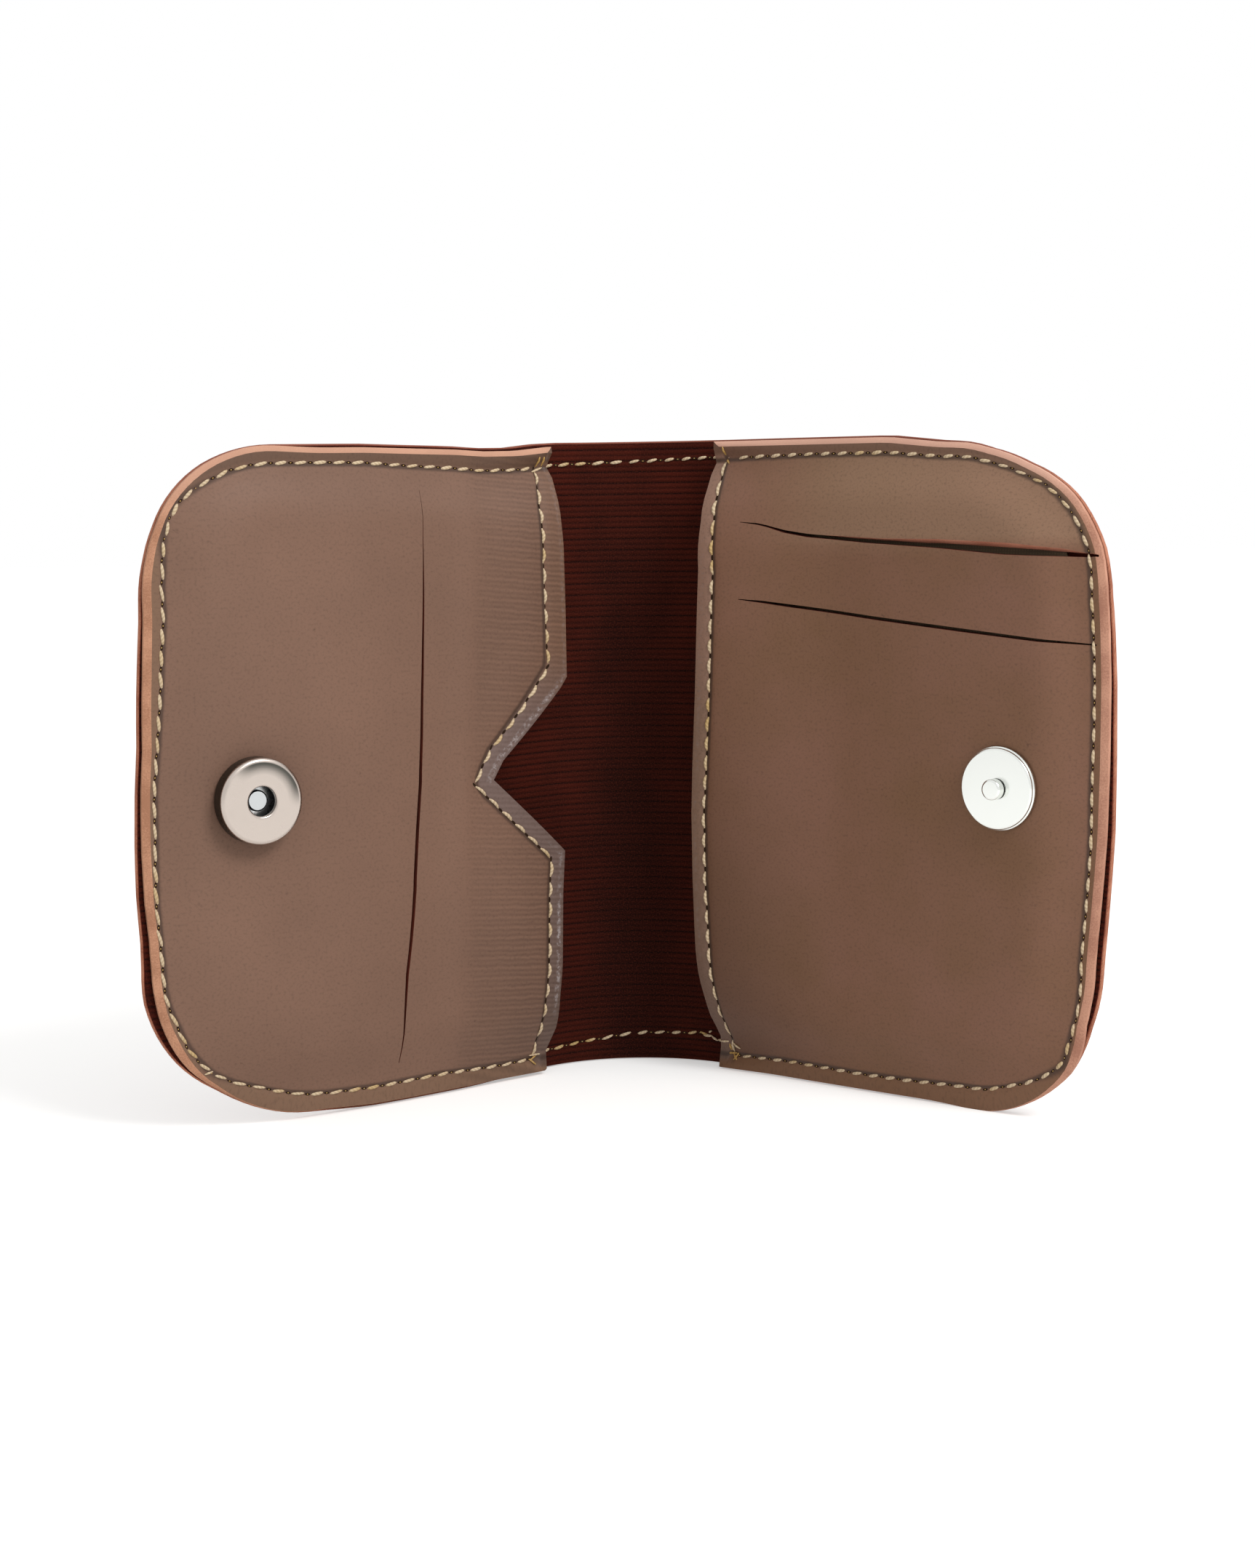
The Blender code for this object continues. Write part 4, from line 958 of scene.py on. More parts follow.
# %% [markdown]
# ## The ribbed lining
#
# The lining lies flat on the cover and runs under both panels. Its level ribs are pressed out of the flat
# sheet before it is bent: a row of points in every groove, on both flanks and on the crown. Every second groove
# is shallower, as the cloth's yarns lie in pairs.

# %% Build the lining
RIB_PITCH = RIB_PITCH_MM * MM
RIB_HEIGHT = 0.16 * MM
RIB_PROFILE = (0.0, 0.75, 1.0, 0.8, 0.35, 0.8, 1.0, 0.75)
RIB_CREASE = 70
LINING_STEP = 5 * MM
LINING_CORNER_STEP = 3 * MM


def build_lining(side):
    bm = flat_sheet(outside_path(side, LINING_REVEAL, 0.0, 0.0), LINING_FLOOR, LINING_THICK)[0]
    turn_in = OUTER - side.corner_top
    columns = spaced(0.0, SPINE_HALF, SPINE_STEP) + spaced(SPINE_HALF - LINING_STEP, turn_in, LINING_STEP)
    quarter = 2 * RIB_PITCH / len(RIB_PROFILE)
    rows = [quarter * index for index in range(2, int(HEIGHT / quarter) - 1)]
    cut_grid(bm, columns + spaced(turn_in, OUTER, LINING_CORNER_STEP), rows)
    crown_layer = bm.verts.layers.float.new("rib_crown")
    mark_pattern(bm, side)
    middle = LINING_FLOOR + LINING_THICK / 2
    for vert in bm.verts:
        vert[crown_layer] = RIB_PROFILE[round(vert.co.y / quarter) % len(RIB_PROFILE)]
        if vert.co.z > middle:
            vert.co.z += (vert[crown_layer] - 1) * RIB_HEIGHT
    bend_sheet(bm, side, place)
    piece = finish_piece(bm, side.name + "_ribbed_lining", [RIBBED_CLOTH], RIB_CREASE)
    return cross_fold(piece, side)


left_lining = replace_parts(build_lining(LEFT), "left_lining", "spine_lining")
right_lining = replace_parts(build_lining(RIGHT), "right_lining", "spine_lining")

# %% [markdown]
# ## Card pockets
#
# Behind each card slot hangs a thin cloth pocket. It lies flat on the lining, hidden by the panel, and only a
# dark glimpse of it shows through an open slot.

# %% Build the card pockets
POCKET_INSET = 4.0 * MM
LOWER_POCKET_INSET = 9.7 * MM
LOWER_POCKET_FLOOR = POCKET_FLOOR + 0.6 * MM
POCKET_STEP = 4 * MM
POCKET_ROWS = 8 * MM
POCKET_CUTS = {
    "left_pocket_cloth": (LEFT, "left_card_pocket", POCKET_FLOOR,
                          outside_path(LEFT, POCKET_INSET, 38.0 * MM, 38.0 * MM)),
    "right_upper_pocket_cloth": (RIGHT, "right_upper_card_pocket", POCKET_FLOOR,
                                 [Vector((24.2, 99.9)) * MM, Vector((83.0, 99.9)) * MM,
                                  Vector((OUTER - POCKET_INSET, HEIGHT - RIGHT.corner_top))]
                                 + corner_arc(RIGHT, POCKET_INSET, False) + [Vector((24.2 * MM, POCKET_INSET))]),
    "right_lower_pocket_cloth": (RIGHT, "right_lower_card_pocket", LOWER_POCKET_FLOOR,
                                 [Vector((27.0, 87.0)) * MM, Vector((OUTER - LOWER_POCKET_INSET, 87.0 * MM))]
                                 + corner_arc(RIGHT, LOWER_POCKET_INSET, False)
                                 + [Vector((27.0 * MM, LOWER_POCKET_INSET))]),
}


def flat_area(outline):
    """Area of a flat outline."""
    pairs = zip(outline, outline[1:] + outline[:1])
    return abs(sum(first.x * second.y - second.x * first.y for first, second in pairs)) / 2


for name, (side, node, floor, outline) in POCKET_CUTS.items():
    bm = flat_sheet(outline, floor, POCKET_THICK)[0]
    cut_grid(bm, spaced(SPINE_HALF, OUTER, POCKET_STEP), spaced(0.0, HEIGHT, POCKET_ROWS))
    mark_pattern(bm, side)
    bend_sheet(bm, side, place)
    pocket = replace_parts(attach(finish_piece(bm, name, [POCKET_CLOTH], SHEET_CREASE), side.body), node)
    width = max(spot.x for spot in outline) - min(spot.x for spot in outline)
    length = max(spot.y for spot in outline) - min(spot.y for spot in outline)
    flat_area(outline)
print("three card pockets made")

# %% [markdown]
# ## Card slots
#
# A card slot is a knife cut through the panel. Handling opens it a little, more in the middle than at its
# ends, and on the right panel's upper slot the leather above leans back, so its tan cut edge shows. Each slot
# is listed as points in millimetres, with the width of the gap and the height of that lip.

# %% Slot shapes
SlotPoint = namedtuple("SlotPoint", "reach z gap lip")
LEFT_SLOT = [(46.2, 102.5, 0.05, 0.0), (46.7, 94.0, 0.12, 0.0), (46.8, 87.0, 0.28, 0.0), (47.1, 72.5, 0.46, 0.0),
             (47.7, 54.0, 0.60, 0.0), (49.2, 36.0, 0.64, 0.0), (51.0, 22.0, 0.56, 0.0), (52.4, 7.0, 0.12, 0.0)]
UPPER_SLOT = [(28.4, 96.0, 0.08, 0.0), (31.6, 95.7, 0.26, 0.0), (33.6, 95.3, 0.32, 0.0), (36.8, 94.4, 0.44, 0.05),
              (41.0, 93.7, 0.48, 0.10), (52.0, 92.8, 0.52, 0.35), (66.0, 92.1, 0.75, 0.70), (78.0, 91.3, 1.10, 0.80),
              (86.0, 90.9, 0.75, 0.60), (93.2, 90.4, 0.22, 0.10)]
LOWER_SLOT = [(28.6, 83.0, 0.12, 0.0), (33.0, 82.6, 0.40, 0.0), (38.0, 82.0, 0.52, 0.0), (54.3, 80.2, 0.58, 0.0),
              (70.0, 78.7, 0.60, 0.0), (84.0, 77.4, 0.50, 0.0), (93.2, 76.7, 0.22, 0.0)]
SLOTS = {"left": [LEFT_SLOT], "right": [UPPER_SLOT, LOWER_SLOT]}
OVERRUN = 0.5 * MM
WALL_INDEX = 2
LIP_INDEX = 3


def spot_key(spot):
    """A point of the pattern, rounded so that it can be looked up."""
    return round(spot.x, 7), round(spot.y, 7)


def slot_cutter(rows, materials):
    """A thin solid through the panel. Its upper wall leans back by the height of the lip."""
    points = [SlotPoint(*(value * MM for value in row)) for row in rows]
    upright = abs(points[0].reach - points[-1].reach) < abs(points[0].z - points[-1].z)
    across = Vector((1.0, 0.0)) if upright else Vector((0.0, 1.0))
    lower, upper = [[Vector((point.reach, point.z)) + across * point.gap * half for point in points]
                    for half in (-0.5, 0.5)]
    lips = {spot_key(spot): point.lip for spot, point in zip(upper, points)}
    bm = flat_sheet(lower + upper[::-1], PANEL_FLOOR - OVERRUN, PANEL_THICK + 2 * OVERRUN)[0]
    for face in bm.faces:
        corners = [lips.get(spot_key(vert.co)) for vert in face.verts]
        face.material_index = LIP_INDEX if None not in corners and max(corners) > 0 else WALL_INDEX
    for vert in bm.verts:
        vert.co.y += lips.get(spot_key(vert.co), 0.0) * (vert.co.z - PANEL_FLOOR) / PANEL_THICK
    bmesh.ops.recalc_face_normals(bm, faces=bm.faces)
    return mesh_object(bm, "slot_cutter", materials)


def cut_slots(bm, cutters, materials):
    """The slab with its slots, by an exact Boolean for each. The cutters are removed again."""
    slab = mesh_object(bm, "slab", materials)
    for cutter in cutters:
        modifier = slab.modifiers.new("slot", "BOOLEAN")
        modifier.operation, modifier.solver, modifier.object = "DIFFERENCE", "EXACT", cutter
    result = bpy.data.meshes.new_from_object(slab.evaluated_get(bpy.context.evaluated_depsgraph_get()))
    bm = bmesh.new()
    bm.from_mesh(result)
    for item in [slab, *cutters]:
        bpy.data.objects.remove(item)
    return bm


print("slots:", {name: len(slots) for name, slots in SLOTS.items()})

# %% [markdown]
# ## The inner panels
#
# Each panel is a slab of leather with a skived outside edge: the maker thins the rim with a knife before
# sewing, and the raw fibres stay in view as a peach band. The band is widest at the outer side, narrower along
# the top and hardly there at the bottom. Rings inset from the outline follow every edge, so that the skived
# rim and the grooves under the stitches come out as clean lines.

# %% Build the panels
RINGS = [0.35 * MM, 0.8 * MM, 1.3 * MM, 1.65 * MM, 2.0 * MM, 2.3 * MM, 2.6 * MM, 2.9 * MM, 3.2 * MM, 3.6 * MM,
         4.1 * MM, 4.8 * MM]
RAW_WIDTH = 1.3 * MM
RAW_SETTLE = 2.0 * MM
SPREAD_SETTLE = 2.6 * MM
SPREADS = {
    "left": [(5, 0.4), (10, 0.1), (16, -0.5), (22, -0.9), (30, -0.5), (40, -0.3), (52, 0.0), (75, 0.1), (85, 0.3),
             (92, 0.55)],
    "right": [(6, 0.6), (10, 0.7), (13, 0.4), (16, -0.2), (19, -0.5), (30, -0.6), (48, -0.4), (60, -0.2),
              (75, 0.0), (85, 0.2), (92, 0.3)],
}
RAW_DROP = 0.4 * MM
RAW_TOP_SHARE = 0.7
RAW_BOTTOM_SHARE = 0.08
TOP_TURN = 1.6
BOTTOM_TURN = 0.45
# Painted light and shade on the right panel, as shares and places in the pattern.
LIGHT_SHARE = 0.62
LIGHT_FROM = (27 * MM, 91 * MM)
LIGHT_BLEND = (26 * MM, 3 * MM)
SHADE_SHARE = 0.75
SHADE_FROM = (52 * MM, 78 * MM)
SHADE_BLEND = (32 * MM, 74 * MM)
PRINT_EDGE = 3 * MM
PRINT_FADE = 20 * MM
PANEL_CREASE = 32
PANEL_STEP = 2.0 * MM
# Where the glossy strip with its painted highlight lies along the free edge, by height.
GLINT_SHARES = {
    "left": [(10, 0), (14, 0.8), (24, 1), (30, 0.7), (36, 0.3), (39, 0.6), (42, 0), (52, 0), (54, 1), (62, 1),
             (68, 0.8), (72, 0.2)],
    "right": [(20, 0), (24, 0.15), (90, 0.1), (95, 0)],
}


def outward(side, reach, z):
    """Direction from a point near the rim to the outside edge."""
    corner = corner_radius(side, z)
    across = reach - (OUTER - corner)
    up = abs(z - HEIGHT / 2) - (HEIGHT / 2 - corner)
    sign = 1 if z > HEIGHT / 2 else -1
    if across > 0 and up > 0:
        return Vector((across, sign * up)).normalized()
    return Vector((1.0, 0.0)) if across > up else Vector((0.0, sign * 1.0))


def raw_share(direction):
    """Width of the raw band in a direction, as a share of its width at the outer side."""
    if direction.y > 0:
        return 1 - (1 - RAW_TOP_SHARE) * ease(direction.y * TOP_TURN)
    return 1 - (1 - RAW_BOTTOM_SHARE) * ease((-direction.y - BOTTOM_TURN) / (1 - BOTTOM_TURN))


def skive(side, vert):
    """Move a rim point to the worn edge and the raw band's local width, and lower it down the skived slope."""
    reach, z = vert.co.x, vert.co.y
    distance = inside(side, reach, z) - side.reveal
    if distance > SPREAD_SETTLE:
        return
    direction = outward(side, reach, z)
    share = min(1.0, (SPREAD_SETTLE - distance) / (SPREAD_SETTLE - RAW_WIDTH))
    shift = share * read_table(SPREADS[side.name], z) * at_corners(reach)
    if distance < RAW_SETTLE and vert.co.z > PANEL_FLOOR + PANEL_THICK / 2:
        width = RAW_WIDTH * raw_share(direction)
        if distance < RAW_WIDTH:
            shift += distance * (1 - width / RAW_WIDTH)
            slope = 1 - distance / RAW_WIDTH
            vert.co.z -= RAW_DROP * slope * slope
        else:
            shift += (RAW_WIDTH - width) * (RAW_SETTLE - distance) / (RAW_SETTLE - RAW_WIDTH)
    vert.co.x += direction.x * shift
    vert.co.y += direction.y * shift


def painted_light_and_shade(side, reach, z):
    """Painted light and shade on the right panel: lighter above its upper slot, darker low down near the mouth."""
    if side is LEFT:
        return 0.0
    light = ease((z - LIGHT_FROM[1]) / LIGHT_BLEND[1]) * ease((reach - LIGHT_FROM[0]) / LIGHT_BLEND[0])
    dark = ease((SHADE_FROM[0] - reach) / SHADE_BLEND[0]) * ease((SHADE_FROM[1] - z) / SHADE_BLEND[1])
    return LIGHT_SHARE * light - SHADE_SHARE * dark


def build_panel(side, leather, print_share):
    materials = [leather, RAW_EDGES[side.name], SLOT_WALL, SLOT_LIP]
    edge = EDGE_PATHS[side.name]
    outline = edge + outside_path(side, side.reveal, edge[-1].x, edge[0].x)[1:-1]
    bm, front = flat_sheet(outline, PANEL_FLOOR, PANEL_THICK)
    for face in bm.faces:
        face.material_index = 1 if abs(face.normal.z) < 0.5 else 0
    for previous, ring in zip([0.0] + RINGS, RINGS):
        bmesh.ops.inset_region(bm, faces=[front], use_boundary=True, use_even_offset=True,
                               thickness=ring - previous, depth=0.0)
    for face in bm.faces:
        centre = face.calc_center_median()
        on_front = centre.z > PANEL_FACE - CUT_TOLERANCE
        if on_front and inside(side, centre.x, centre.y) - side.reveal < RAW_WIDTH and face is not front:
            face.material_index = 1
    bm = cut_slots(bm, [slot_cutter(rows, materials) for rows in SLOTS[side.name]], materials)
    cut_grid(bm, spaced(SPINE_HALF - 3 * MM, OUTER, PANEL_STEP), spaced(0.0, HEIGHT, PANEL_STEP))
    for mark in PANEL_MARKS:
        bm.verts.layers.float.new(mark)
    layers = [bm.verts.layers.float[mark] for mark in PANEL_MARKS]
    mark_pattern(bm, side)
    for vert in bm.verts:
        reach, z = vert.co.x, vert.co.y
        from_mouth = line_distance(Vector((reach, z)), edge)
        past_ridge = ridge_reach(z) - reach
        printed = print_share * (0.5 * ease(past_ridge / PRINT_EDGE) + 0.5 * ease(past_ridge / PRINT_FADE))
        marks = (from_seam(side, reach, z) / MM, from_mouth / MM, (from_mouth - mouth_inset(side, z)) / MM,
                 painted_light_and_shade(side, reach, z), printed, read_table(GLINT_SHARES[side.name], z) / MM)
        for layer, mark in zip(layers, marks):
            vert[layer] = mark
        skive(side, vert)
    bend_sheet(bm, side, place_panel)
    piece = finish_piece(bm, side.name + "_inner_panel", materials, PANEL_CREASE)
    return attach(piece, side.body)


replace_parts(build_panel(LEFT, TAUPE_LEATHER, 1.0), "left_panel")
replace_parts(build_panel(RIGHT, BROWN_LEATHER, 0.0), "right_panel")

# %% [markdown]
# ## Stitches
#
# A machine's lock stitch shows as separate grains of thread, each diving into a needle hole at both ends. One
# stitch is a small sphere, drawn out along the row, full in the middle and sunk at its ends. The needle holes
# between the stitches are flat dark lenses of painted shadow. The rows run at a steady pitch of 3.4 mm, and each
# stitch slants a few degrees, as the twist of the thread makes it.

# %% Make stitches
LIGHT, HOLE, GOLDEN = range(3)
STITCH_PITCH = 3.4 * MM
STITCH_WIDTH = 0.58 * MM
STITCH_HEIGHT = 0.54 * MM
STITCH_RISE = 0.16 * MM
STITCH_DIP = 0.34 * MM
LEVEL_SLANT = {"left": -8.0, "right": 10.0}
UPRIGHT_SLANT = {"left": -8.0, "right": 2.0}
LEVEL_LENGTH = {"left": 2.4 * MM, "right": 2.1 * MM}
UPRIGHT_LENGTH = {"left": 2.95 * MM, "right": 2.6 * MM}
EDGE_ROW_LENGTH = 2.9 * MM
EDGE_BULGE = 0.16 * MM
HOLE_LENGTH = 1.0 * MM
HOLE_WIDTH = 0.46 * MM
HOLE_HEIGHT = 0.10 * MM
KNOT_LENGTH = 0.30 * MM
KNOT_WIDTH = 0.20 * MM
FULLNESS = 0.5
GRAIN_SIDES = 8
GRAIN_RINGS = 6
POLE_RING = 0.01
SLANT_SPREAD = 0.05
LENGTH_SPREAD = (0.92, 1.06)
WIDTH_SPREAD = (0.9, 1.08)
STITCH_CREASE = 60
dice = random.Random(11)


def on_panel(side, reach, z, height):
    return place_panel(side, reach, z, PANEL_FACE + height)


def on_lining(side, reach, z, height):
    return place(side, reach, z, LINING_FACE + height)


def on_cover(side, reach, z, height):
    return place(side, reach, z, COVER_FLOOR - height)


def add_grain(bm, side, surface, start, stop, width, height, rise, dip, material, bulge=0.0):
    """A drawn-out sphere from one point of the pattern to another, lying on a surface. It can bulge sideways."""
    layer = bm.loops.layers.uv.verify()
    made = bmesh.ops.create_uvsphere(bm, u_segments=GRAIN_SIDES, v_segments=GRAIN_RINGS, radius=1.0)["verts"]
    leg = (stop - start) / 2
    across = Vector((-leg.y, leg.x)).normalized()
    for face in {face for vert in made for face in vert.link_faces}:
        face.material_index = material
        for loop in face.loops:
            spot = loop.vert.co
            loop[layer].uv = (spot.z * leg.length / MM, spot.x * width / 2 / MM)
    for vert in made:
        out, up, along = vert.co
        ring = math.hypot(out, up)
        full = (1 - along * along) ** FULLNESS / ring if ring > POLE_RING else 0.0
        aside = out * full * width / 2 + bulge * (1 - along * along)
        spot = (start + stop) / 2 + leg * along + across * aside
        vert.co = surface(side, spot.x, spot.y, rise + up * full * height / 2 - dip * along * along)


def walk(path, pitch):
    """Centre, direction and spacing of evenly spaced stitches along a chain of lines."""
    legs = [(start, stop - start) for start, stop in zip(path, path[1:]) if (stop - start).length > 0]
    total = sum(leg.length for start, leg in legs)
    count = max(1, round(total / pitch))
    for index in range(count):
        left_over = total * (index + 0.5) / count
        for start, leg in legs:
            if left_over <= leg.length:
                break
            left_over -= leg.length
        yield start + leg.normalized() * left_over, leg.normalized(), total / count


def by_direction(side, level, upright, direction):
    """Stitches differ between level and upright rows, as the machine fed the work, and change over in between."""
    return upright[side.name] + (level[side.name] - upright[side.name]) * abs(direction.x)


def add_row(bm, side, surface, path, bulge=0.0):
    """A row of stitches with a needle hole after each one, where the other thread shows as a dot."""
    for centre, direction, pitch in walk(path, STITCH_PITCH):
        slant = 0.0 if bulge else math.radians(by_direction(side, LEVEL_SLANT, UPRIGHT_SLANT, direction))
        length = EDGE_ROW_LENGTH if bulge else by_direction(side, LEVEL_LENGTH, UPRIGHT_LENGTH, direction)
        turn = Matrix.Rotation(slant + dice.uniform(-SLANT_SPREAD, SLANT_SPREAD), 2)
        half = turn @ direction * (length * dice.uniform(*LENGTH_SPREAD) / 2)
        width = STITCH_WIDTH * dice.uniform(*WIDTH_SPREAD)
        add_grain(bm, side, surface, centre - half, centre + half, width, STITCH_HEIGHT, STITCH_RISE, STITCH_DIP,
                  LIGHT, bulge)
        hole = centre + direction * (pitch / 2)
        reach = direction * (HOLE_LENGTH / 2)
        add_grain(bm, side, surface, hole - reach, hole + reach, HOLE_WIDTH, HOLE_HEIGHT, 0.0, 0.0, HOLE)
        if not bulge:
            reach = direction * (KNOT_LENGTH / 2)
            add_grain(bm, side, surface, hole - reach, hole + reach, KNOT_WIDTH, KNOT_WIDTH, 0.0, 0.0, GOLDEN)


def new_stitches():
    bm = bmesh.new()
    bm.loops.layers.uv.new("pattern")
    return bm


def finish_stitches(bm, name, *nodes):
    piece = finish_piece(bm, name, [THREAD, NEEDLE_HOLE, GOLD_THREAD], STITCH_CREASE)
    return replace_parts(piece, *nodes)


print("stitch in mm:", round(LEVEL_LENGTH["left"] / MM, 2), "long and", round(STITCH_WIDTH / MM, 2), "wide")

# %% [markdown]
# ## Rows of stitches
#
# One row runs round each panel's three sewn sides and one beside its free edge. The outside row also comes out
# on the back of the cover, and goes on over the spine at both ends. There it lies on the lining, a little
# further from the edge.

# %% Sew the rows
SPINE_ROWS = [
    [(-19, 106.0), (0, 106.5), (19, 107.1)],
    [(-19, 3.2), (-13.5, 3.4), (-9.9, 3.8), (-6.3, 4.0), (-3.0, 4.4), (0.2, 4.8), (9.5, 5.0), (12.4, 5.3),
     (15.4, 4.8), (17.0, 4.1)],
]
LOW_DRIFT = {"left": 0.6 * MM, "right": 0.2 * MM}
HIGH_DRIFT = {"left": 0.3 * MM, "right": 0.2 * MM}
ROW_STEP = 3.0 * MM
HAND_WIDTH = 0.42 * MM
TAB_GAP = 4.2 * MM


def offset_edge(side):
    """The free edge moved away from the spine by the row's distance, with sharp corners kept."""
    path = EDGE_PATHS[side.name]
    legs = [(stop - start).normalized() for start, stop in zip(path, path[1:])]
    normals = [Vector((leg.y, -leg.x)) for leg in legs]
    moved = []
    for index, spot in enumerate(path):
        before, after = normals[max(index - 1, 0)], normals[min(index, len(normals) - 1)]
        middle = (before + after).normalized()
        moved.append(spot + middle * (mouth_inset(side, spot.y) / middle.dot(before)))
    return moved


def mouth_legs(side):
    """The row beside the free edge, split at the notch's corners, so that a hole falls on each corner."""
    moved = offset_edge(side)
    moved[0] = Vector((moved[0].x + LOW_DRIFT[side.name], seam_inset(side, moved[0].x, 0.0)))
    moved[-1] = Vector((moved[-1].x + HIGH_DRIFT[side.name], HEIGHT - seam_inset(side, moved[-1].x, HEIGHT)))
    parts, at = [], 0
    for leg in FREE_EDGE[side.name]:
        parts.append(moved[max(at - 1, 0) : at + len(leg)])
        at += len(leg)
    return parts


def seam_row(side, start, stop):
    """The outside row, from the top beside the mouth, round the outer side, to the bottom beside the mouth."""
    inset = side.reveal + SEAM_INSET
    path = outside_path(side, inset, start, stop)
    row = []
    for first, second in zip(path, path[1:]):
        pieces = max(1, round((second - first).length / ROW_STEP))
        row += [first.lerp(second, piece / pieces) for piece in range(pieces)]
    return [spot - outward(side, *spot) * (seam_inset(side, *spot) - inset) for spot in row + path[-1:]]


# Hand stitches, tails and knots where a row starts or ends, as start, end and thread in the pattern.
TAB_STITCHES = {
    "left": [((20.3, 108.0), (20.4, 106.1), GOLDEN), ((19.3, 107.9), (19.2, 106.1), GOLDEN),
             ((21.6, 105.4), (18.9, 106.0), LIGHT), ((24.9, 3.7), (21.6, 3.5), LIGHT),
             ((23.4, 5.2), (23.7, 3.7), LIGHT), ((24.7, 3.1), (23.5, 1.9), GOLDEN),
             ((22.8, 3.6), (24.4, 2.8), GOLDEN), ((86.2, 8.7), (84.7, 9.0), LIGHT)],
    "right": [((22.1, 108.8), (22.2, 107.2), GOLDEN), ((20.9, 106.8), (22.8, 106.9), LIGHT),
              ((22.1, 106.8), (22.9, 105.9), GOLDEN), ((19.9, 4.9), (22.1, 5.2), LIGHT),
              ((21.8, 4.8), (21.9, 3.4), GOLDEN), ((22.7, 4.9), (24.1, 4.0), LIGHT),
              ((20.0, 2.7), (23.2, 3.1), GOLDEN), ((22.0, 3.0), (23.2, 1.9), GOLDEN),
              ((23.5, 3.2), (22.4, 1.8), GOLDEN)],
}
LINING_STITCHES = {
    "left": [],
    "right": [((15.4, 4.8), (16.9, 4.1), LIGHT), ((14.8, 5.4), (15.5, 5.8), LIGHT),
              ((12.9, 5.4), (14.6, 5.0), GOLDEN)],
}


def on_tab(side, reach, z, height):
    """The panel's surface without the tabs' shift, for stitches whose true place is known."""
    return place(side, reach, z, PANEL_FACE + lift(side, reach, z) + height)


def add_hand_stitches(bm, side, surface, stitches):
    for start, stop, thread in stitches:
        add_grain(bm, side, surface, Vector(start) * MM, Vector(stop) * MM, HAND_WIDTH, HAND_WIDTH, STITCH_RISE,
                  STITCH_RISE, thread)


for side in (LEFT, RIGHT):
    edge = EDGE_PATHS[side.name]
    bm = new_stitches()
    add_row(bm, side, on_panel, seam_row(side, edge[-1].x + TAB_GAP, edge[0].x + TAB_GAP))
    add_hand_stitches(bm, side, on_tab, TAB_STITCHES[side.name])
    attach(finish_stitches(bm, side.name + "_seam_stitches", side.name + "_perimeter_thread"), side.body)

    bm = new_stitches()
    for leg in mouth_legs(side):
        add_row(bm, side, on_panel, leg, EDGE_BULGE)
    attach(finish_stitches(bm, side.name + "_mouth_stitches", side.name + "_pocket_edge_thread"), side.body)

    bm = new_stitches()
    for table, stop in zip(SPINE_ROWS, (edge[-1].x, edge[0].x)):
        reaches = [0.0] + spaced(0.0, stop, ROW_STEP) + [stop]
        row = [Vector((reach, read_table(table, side.sign * reach))) for reach in reaches]
        add_row(bm, side, on_lining, row)
    add_hand_stitches(bm, side, on_lining, LINING_STITCHES[side.name])
    stitches = finish_stitches(bm, side.name + "_spine_stitches", "spine_top_thread", "spine_bottom_thread")
    cross_fold(stitches, side)

    bm = new_stitches()
    add_row(bm, side, on_cover, outside_path(side, side.reveal + SEAM_INSET, 0.0, 0.0))
    stitches = finish_stitches(bm, side.name + "_back_stitches", side.name + "_perimeter_thread")
    cross_fold(stitches, side)

# %% [markdown]
# ## The magnetic snap
#
# The socket is a stamped steel cap over a ring magnet, with a post in its sunk hole. The stud is a short post
# on a flat plate. Each is turned from a profile of radius and height, a chain of short lines that bmesh spins
# round the snap's axis, because a stamping's rounded shoulders are what catch the light.

# %% Turn the snap's metal parts
CLEARANCE = 0.3 * MM
METAL_CREASE = 40
SPIN_STEPS = 96
ARC_STEPS = 8


def rounded(centre_radius, centre_height, radius, start, stop):
    """Points of a rounded shoulder in a profile, in millimetres, between two angles in degrees."""
    angles = [math.radians(start + (stop - start) * step / ARC_STEPS) for step in range(ARC_STEPS + 1)]
    return [(centre_radius + radius * math.cos(angle), centre_height + radius * math.sin(angle))
            for angle in angles]


def snap_frame(side):
    """Matrix of a snap: its origin clear of the panel, x away from the spine and z square to the panel."""
    centre = place(side, SNAP_S, SNAP_HEIGHT, PANEL_FACE + CLEARANCE + side.puff)
    heading = heading_at(side, bowed(SNAP_S, SNAP_HEIGHT))
    away = Vector((side.sign * math.cos(heading), -math.sin(heading), 0.0))
    inwards = Vector((-side.sign * math.sin(heading), -math.cos(heading), 0.0))
    turn = Matrix((away, inwards.cross(away), inwards)).transposed()
    return Matrix.Translation(centre) @ turn.to_4x4()


def turn_profile(bm, profile, closed):
    """Spin a profile in millimetres round the z axis. An open profile starts and ends on the axis."""
    verts = [bm.verts.new((radius * MM, 0.0, height * MM)) for radius, height in profile]
    pairs = list(zip(verts, verts[1:])) + ([(verts[-1], verts[0])] if closed else [])
    edges = [bm.edges.new(pair) for pair in pairs]
    bmesh.ops.spin(bm, geom=verts + edges, cent=(0.0, 0.0, 0.0), axis=(0.0, 0.0, 1.0), dvec=(0.0, 0.0, 0.0),
                   angle=2 * math.pi, steps=SPIN_STEPS, use_merge=True)
    bmesh.ops.remove_doubles(bm, verts=bm.verts, dist=CUT_TOLERANCE)


def finish_metal(bm, name, side, node, finish):
    bm.transform(snap_frame(side))
    piece = finish_piece(bm, name, [finish], METAL_CREASE)
    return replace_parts(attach(piece, side.body), node)


print("a full turn has", SPIN_STEPS, "steps")

